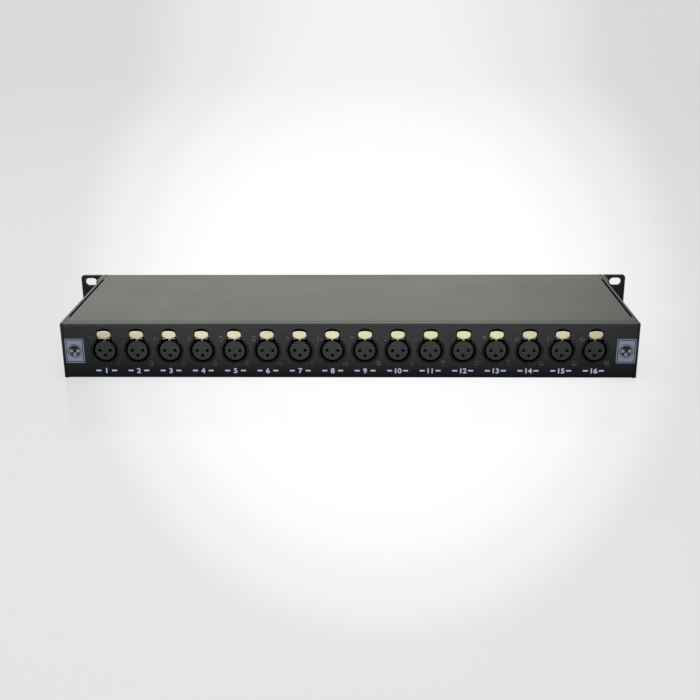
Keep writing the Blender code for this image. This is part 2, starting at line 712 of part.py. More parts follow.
def tab_outline():
    """Push tab: an arched top, rounded shoulders and feet, and the neck that joins the arm."""
    half = TAB_WIDTH / 2
    top = TAB_SLOT_TOP - TAB_CLEARANCE
    low = top - TAB_HEIGHT
    arch_centre = top - TAB_ARCH
    shoulder_x = half - TAB_SHOULDER
    shoulder_z = arch_centre + math.sqrt((TAB_ARCH - TAB_SHOULDER) ** 2 - shoulder_x**2)
    blend = math.degrees(math.atan2(shoulder_z - arch_centre, shoulder_x))
    right = arc((half - TAB_FOOT_RADIUS, low + TAB_FOOT_RADIUS), TAB_FOOT_RADIUS, 270, 360, 1)
    right += arc((shoulder_x, shoulder_z), TAB_SHOULDER, 0, blend, 2)
    outline = [(NECK_WIDTH / 2, ARM_INSIDE + LATCH_SHEET / 2), (NECK_WIDTH / 2, low)]
    outline += right + [(0, top)]
    return outline + [(-x, z) for x, z in reversed(outline[:-1])]


def latch():
    """Stamped lever, drawn about its trunnion: tab, arched arm, hook and tail."""
    front = -TAB_PROUD
    tab_back = LATCH_SHEET - TAB_PROUD
    lever = prism(tab_outline(), "Y", front, tab_back)
    spread = math.degrees(math.asin(ARM_WIDTH / 2 / ARM_INSIDE))
    arm = arc((0, 0), ARM_INSIDE + LATCH_SHEET, 90 - spread, 90 + spread, ARM_STEPS)
    arm += arc((0, 0), ARM_INSIDE, 90 + spread, 90 - spread, ARM_STEPS)
    lever = fused(lever, prism(arm, "Y", front + LATCH_SHEET / 2, PIVOT_DEPTH + TAIL_LENGTH))
    root = ARM_INSIDE + LATCH_SHEET / 2
    tip = BORE_RADIUS - HOOK_BITE
    heel = HOOK_END + LATCH_SHEET
    tooth = [(HOOK_START, root), (HOOK_END, tip), (heel, tip), (heel, root)]
    lever = fused(lever, prism(tooth, "X", -HOOK_WIDTH / 2, HOOK_WIDTH / 2))
    pin = circle((PIVOT_DEPTH, PIVOT_HEIGHT), TRUNNION_RADIUS, HOLE_STEPS)
    lever = fused(lever, prism(pin, "X", -TRUNNION_LENGTH / 2, TRUNNION_LENGTH / 2))
    for vertex in lever.vertices:
        vertex.co -= Vector((0, PIVOT_DEPTH, PIVOT_HEIGHT))
    return lever


# Front panel's fittings: outward distances run along +Y from the panel's face


def power_inlet():
    """Three-blade mains inlet with the fuse drawer's slot under its mouth."""
    face = FRONT + FIT_GAP + INLET_BEZEL_SHEET
    back = FRONT - INLET_BODY_DEPTH
    inlet = prism(centred(INLET_BEZEL, INLET_X, MID_HEIGHT), "Y", FRONT + FIT_GAP, face)
    body = prism(centred(INLET_BODY, INLET_X, MID_HEIGHT), "Y", back, face - INLET_BEZEL_SHEET / 2)
    inlet = fused(inlet, body)
    half_w = INLET_MOUTH[0] / 2
    half_h = INLET_MOUTH[1] / 2
    mouth = [
        (-half_w, -half_h), (half_w, -half_h),
        (half_w, half_h - INLET_CHAMFER), (half_w - INLET_CHAMFER, half_h),
        (-half_w + INLET_CHAMFER, half_h), (-half_w, half_h - INLET_CHAMFER),
    ]
    centre_z = MID_HEIGHT + INLET_MOUTH_RISE
    floor = face - INLET_MOUTH_DEPTH
    inlet = carved(inlet, prism(shifted(mouth, INLET_X, centre_z), "Y", floor, face + FIT_GAP))
    blades = [
        prism(centred(BLADE_SIZE[:2], INLET_X + a * BLADE_SPREAD, centre_z + b * BLADE_OFFSET), "Y",
              floor - FIT_GAP, floor + BLADE_SIZE[2])
        for a, b in ((-1, -1), (1, -1), (0, 1))
    ]
    blades += [
        prism(centred(INLET_TAB[:2], INLET_X + a * BLADE_SPREAD, centre_z + b * BLADE_OFFSET), "Y",
              back - INLET_TAB[2], back + FIT_GAP)
        for a, b in ((-1, -1), (1, -1), (0, 1))
    ]
    inlet = fused(inlet, gathered(blades))
    slot = centred(DRAWER_SLOT, INLET_X, MID_HEIGHT - DRAWER_DROP)
    return carved(inlet, prism(slot, "Y", face - DRAWER_DEPTH - FIT_GAP, face + FIT_GAP))


def fuse_drawer():
    """Drawer drawn from its face at the origin: a front plate and a trough with its fuse."""
    width = DRAWER_SLOT[0] - 2 * FIT_GAP
    height = DRAWER_SLOT[1] - 2 * FIT_GAP
    drawer = prism(centred((width, height)), "Y", -DRAWER_DEPTH, 0)
    trough_back = -DRAWER_DEPTH + DRAWER_FACE / 2
    trough = block(
        (-DRAWER_TROUGH / 2, trough_back, height / 2 - DRAWER_TROUGH),
        (DRAWER_TROUGH / 2, -DRAWER_FACE, height),
    )
    grip = block(
        (-DRAWER_GRIP[0] / 2, -DRAWER_FACE / 2, -height / 2 - FIT_GAP),
        (DRAWER_GRIP[0] / 2, FIT_GAP, -height / 2 + DRAWER_GRIP[1]),
    )
    drawer = carved(drawer, gathered([trough, grip]))
    middle = (trough_back - DRAWER_FACE) / 2
    fuse = prism(circle((0, height / 2 - DRAWER_TROUGH / 2), FUSE_RADIUS, HOLE_STEPS), "Y",
                 middle - FUSE_LENGTH / 2 - DRAWER_FACE / 4, middle + FUSE_LENGTH / 2 + DRAWER_FACE / 4)
    return fused(drawer, fuse)


def switch_frame():
    face = FRONT + FIT_GAP + SWITCH_BEZEL_SHEET
    frame = prism(centred(SWITCH_BEZEL, SWITCH_X, MID_HEIGHT), "Y", FRONT + FIT_GAP, face)
    back = FRONT - SWITCH_BODY_DEPTH
    body = prism(centred(SWITCH_BODY, SWITCH_X, MID_HEIGHT), "Y", back, face - SWITCH_BEZEL_SHEET / 2)
    well = prism(centred(SWITCH_WELL, SWITCH_X, MID_HEIGHT), "Y", face - SWITCH_WELL_DEPTH, face + FIT_GAP)
    pivot = circle((face - ROCKER_PIVOT_BACK, MID_HEIGHT), ROCKER_PIN_RADIUS + FIT_GAP, HOLE_STEPS)
    reach = SWITCH_WELL[0] / 2 + ROCKER_PIN_REACH + FIT_GAP
    frame = carved(fused(frame, body), well, prism(pivot, "X", SWITCH_X - reach, SWITCH_X + reach))
    tabs = [
        prism(centred(INLET_TAB[:2], SWITCH_X, MID_HEIGHT + b * SWITCH_TAB_OFFSET), "Y",
              back - INLET_TAB[2], back + FIT_GAP)
        for b in (-1, 1)
    ]
    return fused(frame, gathered(tabs))


def switch_rocker():
    """Rocker drawn about its pin, tilted to its off side: a dished face over a narrow keel."""
    half = ROCKER_LENGTH / 2
    keel = ROCKER_KEEL_WIDTH / 2
    outline = [
        (-ROCKER_KEEL, -keel), (-ROCKER_KEEL, keel), (-ROCKER_SHOULDER, half), (ROCKER_RISE, half),
        (ROCKER_RISE - ROCKER_DISH, 0), (ROCKER_RISE, -half), (-ROCKER_SHOULDER, -half),
    ]
    cos = math.cos(math.radians(ROCKER_TILT))
    sin = math.sin(math.radians(ROCKER_TILT))
    outline = [(y * cos - z * sin, y * sin + z * cos) for y, z in outline]
    half_width = SWITCH_WELL[0] / 2 - FIT_GAP
    rocker = prism(outline, "X", -half_width, half_width)
    reach = SWITCH_WELL[0] / 2 + ROCKER_PIN_REACH
    return fused(rocker, prism(circle((0, 0), ROCKER_PIN_RADIUS, HOLE_STEPS), "X", -reach, reach))


def network_jack():
    """Ganged jack on the main board; each port has its mouth and the clip's key above it."""
    width = (JACK_PORTS - 1) * JACK_PORT_PITCH + PORT_MOUTH[0] + 2 * JACK_SIDE_WALL
    low = BOARD_TOP + FIT_GAP
    middle = low + JACK_HEIGHT / 2
    jack = prism(centred((width, JACK_HEIGHT), JACK_X, middle), "Y", FRONT - JACK_DEPTH, FRONT)
    ports = []
    for i in range(JACK_PORTS):
        x = JACK_X + (i - (JACK_PORTS - 1) / 2) * JACK_PORT_PITCH
        half = PORT_MOUTH[0] / 2
        key = PORT_KEY[0] / 2
        outline = [
            (-half, 0), (-key, 0), (-key, -PORT_KEY[1]), (key, -PORT_KEY[1]),
            (key, 0), (half, 0), (half, PORT_MOUTH[1]), (-half, PORT_MOUTH[1]),
        ]
        outline = shifted(outline, x, low + PORT_RISE)
        ports.append(prism(outline, "Y", FRONT - PORT_DEPTH, FRONT + FIT_GAP))
    return carved(jack, gathered(ports))


def display_window():
    """Clear window, flush in the panel, with a ledge behind it."""
    ledge_front = FRONT - PANEL_SHEET - FIT_GAP
    window = prism(centred(WINDOW_SIZE, WINDOW_X, MID_HEIGHT), "Y", ledge_front - WINDOW_SHEET / 2, FRONT)
    ledge = prism(centred(grown(WINDOW_SIZE, WINDOW_LEDGE), WINDOW_X, MID_HEIGHT), "Y",
                  ledge_front - WINDOW_SHEET, ledge_front)
    return fused(window, ledge)


def display_board_face():
    """Outward face of the board that carries the display and key switches."""
    return FRONT - PANEL_SHEET - 3 * FIT_GAP - WINDOW_SHEET - MODULE_SIZE[2]


def display_module():
    """Glass panel in its metal frame, with the screen sunk inside the frame."""
    back = display_board_face() + FIT_GAP
    front = back + MODULE_SIZE[2]
    module = prism(centred(MODULE_SIZE[:2], WINDOW_X, MID_HEIGHT), "Y", back, front)
    screen = centred(grown(MODULE_SIZE[:2], -MODULE_BEZEL), WINDOW_X, MID_HEIGHT)
    return carved(module, prism(screen, "Y", front - MODULE_RECESS, front + FIT_GAP))


def display_board():
    """Upright board with a switch behind each key and the flat cable's header."""
    face = display_board_face()
    outline = centred((DISPLAY_BOARD_WIDTH, DISPLAY_BOARD_HEIGHT), DISPLAY_BOARD_X, MID_HEIGHT)
    board = prism(outline, "Y", face - BOARD_SHEET, face)
    switches = [
        prism(centred(KEY_SWITCH_SIZE[:2], x, MID_HEIGHT), "Y", face - FIT_GAP, face + KEY_SWITCH_SIZE[2])
        for x in KEY_XS
    ]
    header_x = DISPLAY_BOARD_X - DISPLAY_BOARD_WIDTH / 2 + FLAT_CABLE_WIDTH
    header = prism(centred((FLAT_CABLE_WIDTH + HEADER_DEPTH, HEADER_DEPTH), header_x, MID_HEIGHT), "Y",
                   face - BOARD_SHEET - HEADER_HEIGHT, face - FIT_GAP)
    return fused(board, gathered(switches), header)


def menu_key():
    """Round key cap, drawn from the panel's face, with its collar behind the panel and a stem."""
    collar = -PANEL_SHEET - FIT_GAP
    collar_back = collar - KEY_COLLAR_SHEET
    stem_end = display_board_face() + KEY_SWITCH_SIZE[2] + KEY_TRAVEL + FIT_GAP - FRONT
    profile = [
        (0, KEY_PROUD), (KEY_RADIUS, KEY_PROUD - KEY_DOME), (KEY_RADIUS, collar),
        (KEY_RADIUS + KEY_COLLAR, collar), (KEY_RADIUS + KEY_COLLAR, collar_back),
        (KEY_STEM_RADIUS, collar_back), (KEY_STEM_RADIUS, stem_end), (0, stem_end),
    ]
    return turned(profile, KEY_STEPS)


def light_pipe():
    """Clear rail behind the panel with a lens for each status light, through the panel."""
    rail_front = FRONT - PANEL_SHEET - FIT_GAP
    rail_width = (LENS_COUNT - 1) * LENS_PITCH + LENS_SIZE[0] + 2 * PIPE_RAIL_HEIGHT
    rail = prism(centred((rail_width, PIPE_RAIL_HEIGHT), LENS_X, MID_HEIGHT), "Y",
                 rail_front - PIPE_RAIL_DEPTH, rail_front)
    lenses = [
        prism(centred(LENS_SIZE, x, MID_HEIGHT), "Y", rail_front - PIPE_RAIL_DEPTH / 2, FRONT + LENS_PROUD)
        for x in LENS_XS
    ]
    return fused(rail, gathered(lenses))


# Boards, supply and leads under the cover


def on_board(x, y, size, height):
    """Block that stands on a board, sunk a little so that it joins it."""
    low = (x - size[0] / 2, y - size[1] / 2, BOARD_TOP - FIT_GAP)
    return block(low, (x + size[0] / 2, y + size[1] / 2, BOARD_TOP + height))


def output_header_y():
    return REAR + OUTPUT_BOARD_SETBACK + OUTPUT_BOARD_DEPTH - FIT_GAP - HEADER_DEPTH / 2


def main_header_y():
    return FRONT - MAIN_BOARD_SETBACK - MAIN_BOARD_DEPTH + FIT_GAP + HEADER_DEPTH / 2


def lead_block_places():
    """Low-voltage and display terminal blocks at the main board's inner edge, as (x, y) points."""
    x = MAIN_BOARD_X + MAIN_BOARD_WIDTH / 2 - LEAD_BLOCK_INSET
    middle = FRONT - MAIN_BOARD_SETBACK - MAIN_BOARD_DEPTH / 2
    return [(x, middle - LEAD_BLOCK_PITCH / 2), (x, middle + LEAD_BLOCK_PITCH / 2)]


def supply_terminal_places():
    """Output and mains terminals at two opposite corners of the supply's board."""
    reach_x = SUPPLY_WIDTH / 2 - TERMINAL_INSET - TERMINAL_SIZE[0] / 2
    reach_y = SUPPLY_DEPTH / 2 - TERMINAL_INSET - TERMINAL_SIZE[1] / 2
    return [(SUPPLY_X - reach_x, SUPPLY_Y - reach_y), (SUPPLY_X + reach_x, SUPPLY_Y + reach_y)]


def output_board():
    """Long board under the sockets, with a line driver for each pair and the cable's header."""
    rear = REAR + OUTPUT_BOARD_SETBACK
    front = rear + OUTPUT_BOARD_DEPTH
    half = OUTPUT_BOARD_WIDTH / 2
    board = block((-half, rear, BOARD_BOTTOM), (half, front, BOARD_TOP))
    chip_y = REAR + SHELL_DEPTH + DRIVER_SIZE[1]
    pairs = zip(SOCKET_XS[0::2], SOCKET_XS[1::2])
    chips = [on_board((left + right) / 2, chip_y, DRIVER_SIZE, CHIP_HEIGHT) for left, right in pairs]
    header = (FLAT_CABLE_WIDTH + HEADER_DEPTH, HEADER_DEPTH)
    return fused(board, gathered(chips), on_board(MAIN_BOARD_X, output_header_y(), header, HEADER_HEIGHT))


def main_board():
    """Processor board behind the network jack, with its header and two terminal blocks."""
    front = FRONT - MAIN_BOARD_SETBACK
    rear = front - MAIN_BOARD_DEPTH
    half = MAIN_BOARD_WIDTH / 2
    board = block((MAIN_BOARD_X - half, rear, BOARD_BOTTOM), (MAIN_BOARD_X + half, front, BOARD_TOP))
    middle = (front + rear) / 2
    header = (FLAT_CABLE_WIDTH + HEADER_DEPTH, HEADER_DEPTH)
    fitted = [
        on_board(MAIN_BOARD_X, main_header_y(), header, HEADER_HEIGHT),
        on_board(MAIN_BOARD_X, middle, PROCESSOR_SIZE, CHIP_HEIGHT),
        on_board(MAIN_BOARD_X + MEMORY_OFFSET, middle, MEMORY_SIZE, CHIP_HEIGHT),
    ]
    fitted += [on_board(x, y, LEAD_BLOCK_SIZE[:2], LEAD_BLOCK_SIZE[2]) for x, y in lead_block_places()]
    return fused(board, gathered(fitted))


def heat_sink(right, middle_y):
    """Comb of fins that stand on a web, seen from above, with its right side at x = right."""
    back = middle_y - HEATSINK_DEPTH / 2
    front = middle_y + HEATSINK_DEPTH / 2
    valley = back + HEATSINK_WEB
    comb = [(right - (2 * HEATSINK_FINS - 1) * HEATSINK_FIN, back), (right, back)]
    for fin in range(HEATSINK_FINS):
        edge = right - 2 * fin * HEATSINK_FIN
        comb += [(edge, front), (edge - HEATSINK_FIN, front)]
        if fin < HEATSINK_FINS - 1:
            comb += [(edge - HEATSINK_FIN, valley), (edge - 2 * HEATSINK_FIN, valley)]
    return prism(comb, "Z", BOARD_TOP - FIT_GAP, BOARD_TOP + HEATSINK_HEIGHT)


def power_supply():
    """Open-frame supply: board, transformer, two capacitors, a finned heat sink and terminals."""
    low = (SUPPLY_X - SUPPLY_WIDTH / 2, SUPPLY_Y - SUPPLY_DEPTH / 2, BOARD_BOTTOM)
    board = block(low, (SUPPLY_X + SUPPLY_WIDTH / 2, SUPPLY_Y + SUPPLY_DEPTH / 2, BOARD_TOP))
    core = TRANSFORMER_SIZE[0] / 2
    fitted = [
        on_board(SUPPLY_X, SUPPLY_Y, TRANSFORMER_SIZE[:2], TRANSFORMER_SIZE[2]),
        heat_sink(SUPPLY_X - core - HEATSINK_WEB, SUPPLY_Y),
    ]
    for side in (-1, 1):
        centre = (SUPPLY_X + core + 2 * CAPACITOR_RADIUS, SUPPLY_Y + side * (CAPACITOR_RADIUS + 2 * FIT_GAP))
        can = circle(centre, CAPACITOR_RADIUS, KEY_STEPS)
        fitted.append(prism(can, "Z", BOARD_TOP - FIT_GAP, BOARD_TOP + CAPACITOR_HEIGHT))
    fitted += [on_board(x, y, TERMINAL_SIZE[:2], TERMINAL_SIZE[2]) for x, y in supply_terminal_places()]
    return fused(board, gathered(fitted))


def data_cable():
    """Flat cable that humps over the gap between the main board's and output board's headers."""
    top = BOARD_TOP + HEADER_HEIGHT + FIT_GAP
    start = output_header_y()
    end = main_header_y()
    radius = (end - start) / 2
    hump = arc(((start + end) / 2, top + radius / 2), radius, 180, 0, SLOT_STEPS)
    section = folded_strip([(start, top)] + hump + [(end, top)], FLAT_CABLE_SHEET)
    edge = FLAT_CABLE_WIDTH / 2
    return prism(section, "X", MAIN_BOARD_X - edge, MAIN_BOARD_X + edge)


def smooth_route(points):
    """Catmull-Rom curve through a route's points, straight along its first and last stretch."""
    stops = [Vector(point) for point in points]
    route = stops[:1]
    for a, b, c, d in zip(stops, stops[1:], stops[2:], stops[3:]):
        for step in range(LEAD_SPANS):
            t = step / LEAD_SPANS
            bend = (2 * a - 5 * b + 4 * c - d) * t**2 + (3 * b - a - 3 * c + d) * t**3
            route.append((2 * b + (c - a) * t + bend) / 2)
    return route + stops[-2:]


def lead(name, points, radius, material):
    """Round lead: a tube along a smooth route."""
    curve = bpy.data.curves.new(name, "CURVE")
    curve.dimensions = "3D"
    curve.bevel_depth = radius
    curve.bevel_resolution = 2
    curve.use_fill_caps = True
    route = smooth_route(points)
    spline = curve.splines.new("POLY")
    spline.points.add(len(route) - 1)
    for knot, point in zip(spline.points, route):
        knot.co = (*point, 1.0)
    curve.materials.append(material)
    bpy.context.collection.objects.link(bpy.data.objects.new(name, curve))


def along(start, end, share):
    return start + (end - start) * share


def lead_routes():
    """Each lead's name, radius and route, from one terminal to the next."""
    inlet_end = FRONT - INLET_BODY_DEPTH - INLET_TAB[2] - FIT_GAP
    inlet_z = MID_HEIGHT + INLET_MOUTH_RISE
    switch_end = FRONT - SWITCH_BODY_DEPTH - INLET_TAB[2] - FIT_GAP
    (out_x, out_y), (in_x, in_y) = supply_terminal_places()
    terminal_z = BOARD_TOP + TERMINAL_SIZE[2] + FIT_GAP
    (low_x, low_y), (view_x, view_y) = lead_block_places()
    block_z = BOARD_TOP + LEAD_BLOCK_SIZE[2] + FIT_GAP
    floor = TRAY_SHEET + FIT_GAP + LEAD_SAG + THIN_LEAD_RADIUS
    view_end = display_board_face() - BOARD_SHEET - HEADER_HEIGHT - FIT_GAP
    view_start = DISPLAY_BOARD_X - DISPLAY_BOARD_WIDTH / 2 + FLAT_CABLE_WIDTH
    live = (INLET_X - BLADE_SPREAD, inlet_z - BLADE_OFFSET)
    earth_z = inlet_z + BLADE_OFFSET
    stud_z = TRAY_SHEET + EARTH_STUD_HEIGHT + FIT_GAP
    upper = MID_HEIGHT + SWITCH_TAB_OFFSET
    lower = MID_HEIGHT - SWITCH_TAB_OFFSET
    return (
        ("mains_lead", MAINS_LEAD_RADIUS, [
            (live[0], inlet_end, live[1]), (live[0], inlet_end - LEAD_STUB, live[1]),
            (along(live[0], SWITCH_X, 0.3), inlet_end - 1.4 * LEAD_STUB, upper),
            (along(live[0], SWITCH_X, 0.7), inlet_end - 0.95 * LEAD_STUB, upper),
            (SWITCH_X, switch_end - LEAD_STUB, upper), (SWITCH_X, switch_end, upper),
        ]),
        ("switched_lead", MAINS_LEAD_RADIUS, [
            (SWITCH_X, switch_end, lower), (SWITCH_X, switch_end - LEAD_STUB, lower),
            (along(SWITCH_X, in_x, 0.28), switch_end - 2.5 * LEAD_STUB, lower + MAINS_LEAD_RADIUS),
            (along(SWITCH_X, in_x, 0.67), switch_end - 2.5 * LEAD_STUB, terminal_z + MAINS_LEAD_RADIUS),
            (in_x, in_y, terminal_z + LEAD_STUB), (in_x, in_y, terminal_z),
        ]),
        ("earth_lead", THIN_LEAD_RADIUS, [
            (INLET_X, inlet_end, earth_z), (INLET_X, inlet_end - LEAD_STUB, earth_z),
            (along(INLET_X, EARTH_STUD_X, 0.47), inlet_end - 1.25 * LEAD_STUB, earth_z - 2 * LEAD_SAG),
            (along(INLET_X, EARTH_STUD_X, 0.9), inlet_end + 0.75 * LEAD_STUB, earth_z - 2 * LEAD_STUB),
            (EARTH_STUD_X, EARTH_STUD_Y, stud_z + LEAD_STUB), (EARTH_STUD_X, EARTH_STUD_Y, stud_z),
        ]),
        ("low_voltage_lead", THIN_LEAD_RADIUS, [
            (out_x, out_y, terminal_z), (out_x, out_y, terminal_z + LEAD_STUB),
            (along(out_x, low_x, 0.1), along(out_y, low_y, 0.12), terminal_z - LEAD_STUB),
            (along(out_x, low_x, 0.2), along(out_y, low_y, 0.4), floor + LEAD_SAG),
            (along(out_x, low_x, 0.52), along(out_y, low_y, 0.88), floor),
            (along(out_x, low_x, 0.86), along(out_y, low_y, 0.92), floor + LEAD_SAG),
            (along(out_x, low_x, 0.95), along(out_y, low_y, 0.96), block_z - 0.6 * LEAD_STUB),
            (low_x, low_y, block_z + LEAD_STUB), (low_x, low_y, block_z),
        ]),
        ("display_lead", THIN_LEAD_RADIUS, [
            (view_start, view_end, MID_HEIGHT), (view_start, view_end - LEAD_STUB, MID_HEIGHT),
            (along(view_start, view_x, 0.48), view_y + 0.67 * LEAD_STUB, MID_HEIGHT + 0.67 * LEAD_STUB),
            (view_x, view_y, block_z + LEAD_STUB), (view_x, view_y, block_z),
        ]),
    )


def build():
    for item in list(bpy.data.objects):
        bpy.data.objects.remove(item, do_unlink=True)
    paint = finish("black_powder_coat", (0.030, 0.031, 0.033), 0.45)
    plastic = finish("black_plastic", (0.022, 0.022, 0.024), 0.4)
    nickel = finish("nickel_plate", (0.80, 0.77, 0.68), 0.28, 1.0)
    clear = finish("clear_plastic", (0.75, 0.78, 0.80), 0.15)
    green = finish("circuit_board", (0.05, 0.22, 0.10), 0.5)
    steel = finish("plated_steel", (0.62, 0.62, 0.60), 0.35, 1.0)
    screen = finish("display_glass", (0.05, 0.09, 0.16), 0.2)
    wire = finish("lead_sleeve", (0.12, 0.12, 0.13), 0.55)
    ribbon = finish("flat_cable", (0.42, 0.43, 0.45), 0.6)

    place("base_tray", base_tray(), paint)
    place("rear_panel", rear_panel(), paint)
    place("front_panel", front_panel(), paint)
    place("top_cover", top_cover(), paint)
    place("rack_ear_left", rack_ear(-1), paint)
    place("rack_ear_right", rack_ear(1), paint)

    shell = socket_shell()
    lever = latch()
    for number, x in enumerate(SOCKET_XS, 1):
        row = bpy.data.objects.new(f"socket_{number:02d}", None)
        row.location = (x, REAR, SOCKET_HEIGHT)
        bpy.context.collection.objects.link(row)
        place(f"socket_shell_{number:02d}", shell, plastic, parent=row)
        place(f"latch_{number:02d}", lever, nickel, (0, PIVOT_DEPTH, PIVOT_HEIGHT), row)

    place("power_inlet", power_inlet(), plastic)
    drawer_face = FRONT + FIT_GAP + INLET_BEZEL_SHEET
    place("fuse_drawer", fuse_drawer(), plastic, (INLET_X, drawer_face, MID_HEIGHT - DRAWER_DROP))
    place("switch_frame", switch_frame(), plastic)
    pivot_y = FRONT + FIT_GAP + SWITCH_BEZEL_SHEET - ROCKER_PIVOT_BACK
    place("switch_rocker", switch_rocker(), plastic, (SWITCH_X, pivot_y, MID_HEIGHT))
    place("network_jack", network_jack(), steel)
    place("display_window", display_window(), clear)
    place("display_module", display_module(), screen)
    place("display_board", display_board(), green)
    key = menu_key()
    for number, x in enumerate(KEY_XS, 1):
        place(f"menu_key_{number}", key, plastic, (x, FRONT, MID_HEIGHT))
    place("light_pipe", light_pipe(), clear)

    place("output_board", output_board(), green)
    place("main_board", main_board(), green)
    place("power_supply", power_supply(), green)
    place("data_cable", data_cable(), ribbon)
    for name, radius, points in lead_routes():
        lead(name, points, radius, wire)


build()
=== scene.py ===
from collections import namedtuple

import bmesh
import bpy
import numpy as np
from mathutils import Matrix
from mathutils.geometry import tessellate_polygon


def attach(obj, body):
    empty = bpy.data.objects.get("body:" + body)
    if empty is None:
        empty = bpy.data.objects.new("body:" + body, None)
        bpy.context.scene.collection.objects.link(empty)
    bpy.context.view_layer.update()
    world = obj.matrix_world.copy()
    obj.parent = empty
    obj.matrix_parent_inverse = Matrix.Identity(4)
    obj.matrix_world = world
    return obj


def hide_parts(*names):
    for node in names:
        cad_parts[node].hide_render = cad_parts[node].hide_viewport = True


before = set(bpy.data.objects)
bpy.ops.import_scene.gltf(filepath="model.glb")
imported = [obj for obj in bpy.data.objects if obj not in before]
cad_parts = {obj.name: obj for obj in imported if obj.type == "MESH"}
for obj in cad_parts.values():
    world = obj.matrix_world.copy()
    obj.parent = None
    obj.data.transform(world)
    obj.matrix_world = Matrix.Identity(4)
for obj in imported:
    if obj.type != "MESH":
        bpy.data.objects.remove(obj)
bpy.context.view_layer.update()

# Camera
# It stands where the photographer stood, before the row of sockets and a little above it.
# Place, aim and lens were worked out from the case's corners, the ear slots and the bores.

eye = np.array([0.0171, -0.8164, 0.2853])
yaw, pitch, roll = np.radians([-1.24, 19.4, -0.38])
ahead = np.array([np.sin(yaw) * np.cos(pitch), np.cos(yaw) * np.cos(pitch), -np.sin(pitch)])
level = np.array([np.cos(yaw), -np.sin(yaw), 0.0])
upward = np.cross(level, ahead)
across = np.cos(roll) * level + np.sin(roll) * upward
upright_axis = np.cos(roll) * upward - np.sin(roll) * level
FOCAL_PIXELS, FRAME_PIXELS, SENSOR_WIDTH = 1033.2, 700, 36
camera = bpy.data.objects.new("camera", bpy.data.cameras.new("camera"))
camera.data.sensor_width = SENSOR_WIDTH
camera.data.lens = FOCAL_PIXELS / FRAME_PIXELS * SENSOR_WIDTH
camera.data.clip_start = 0.05
camera.data.clip_end = 60
turn = np.eye(4)
turn[:3, 0], turn[:3, 1], turn[:3, 2], turn[:3, 3] = across, upright_axis, -ahead, eye
camera.matrix_world = Matrix(turn.tolist())
bpy.context.scene.collection.objects.link(camera)
bpy.context.scene.camera = camera
bpy.context.scene.view_settings.view_transform = "Standard"

# Studio
# A white paper sweep under and behind the case, one large soft lamp overhead, a smaller one
# from the front left, and an even white room. The paper keeps the case's shadow.

SWEEP_FRONT, SWEEP_BACK, SWEEP_HALF, SWEEP_BEND, SWEEP_HEIGHT = -4.0, 2.4, 4.5, 1.2, 3.4


def paper_sweep():
    """Profile of a flat floor, a quarter turn and an upright wall, carried sideways."""
    turn = np.linspace(0, np.pi / 2, 24)
    bend = np.column_stack([SWEEP_BACK + SWEEP_BEND * np.sin(turn), SWEEP_BEND * (1 - np.cos(turn))])
    floor = np.column_stack([np.linspace(SWEEP_FRONT, SWEEP_BACK, 12)[:-1], np.zeros(11)])
    profile = np.concatenate([floor, bend, [[SWEEP_BACK + SWEEP_BEND, SWEEP_HEIGHT]]])
    points = np.concatenate([
        np.column_stack([np.full(len(profile), x), profile]) for x in (-SWEEP_HALF, SWEEP_HALF)
    ])
    low = np.arange(len(profile) - 1)
    high = low + len(profile)
    return points, np.column_stack([low, high, high + 1, low + 1])


sweep_points, sweep_faces = paper_sweep()
sweep_mesh = bpy.data.meshes.new("paper_sweep")
sweep_mesh.from_pydata(sweep_points.tolist(), [], sweep_faces.tolist())
sweep_mesh.shade_smooth()
sweep = bpy.data.objects.new("paper_sweep", sweep_mesh)
bpy.context.scene.collection.objects.link(sweep)
paper = bpy.data.materials.new("white_paper")
paper.use_nodes = True
paper_nodes = paper.node_tree.nodes
paper_links = paper.node_tree.links
paper_nodes["Principled BSDF"].inputs["Base Color"].default_value = (0.84, 0.84, 0.84, 1)
paper_nodes["Principled BSDF"].inputs["Roughness"].default_value = 0.14
paper_place = paper_nodes.new("ShaderNodeSeparateXYZ")
paper_links.new(paper_nodes.new("ShaderNodeTexCoord").outputs["Object"], paper_place.inputs[0])
paper_path = paper_nodes.new("ShaderNodeLightPath")


def paper_math(operation, *values):
    """One step of arithmetic on sockets and numbers."""
    node = paper_nodes.new("ShaderNodeMath")
    node.operation = operation
    for socket, value in zip(node.inputs, values):
        if isinstance(value, (int, float)):
            socket.default_value = value
        else:
            paper_links.new(value, socket)
    return node.outputs[0]


def paper_ramp(value, stops):
    """Grey tones at positions from 0 to 1, eased between."""
    node = paper_nodes.new("ShaderNodeValToRGB")
    ramp = node.color_ramp
    ramp.interpolation = "EASE"
    for place, _ in stops[2:]:
        ramp.elements.new(place)
    for element, (place, tone) in zip(ramp.elements, sorted(stops)):
        element.position = place
        element.color = (tone, tone, tone, 1)
    paper_links.new(value, node.inputs[0])
    return node.outputs[0]


def paper_glow(tone, colour=(1, 1, 1)):
    """Light sent out by the paper itself, of a tone times a colour."""
    glow = paper_nodes.new("ShaderNodeEmission")
    tint = paper_nodes.new("ShaderNodeVectorMath")
    tint.operation = "MULTIPLY"
    tint.inputs[1].default_value = colour
    paper_links.new(tone, tint.inputs[0])
    paper_links.new(tint.outputs[0], glow.inputs["Color"])
    return glow.outputs[0]


def paper_blend(share, first, second):
    mix = paper_nodes.new("ShaderNodeMixShader")
    for socket, value in zip(mix.inputs, (share, first, second)):
        paper_links.new(value, socket)
    return mix.outputs[0]


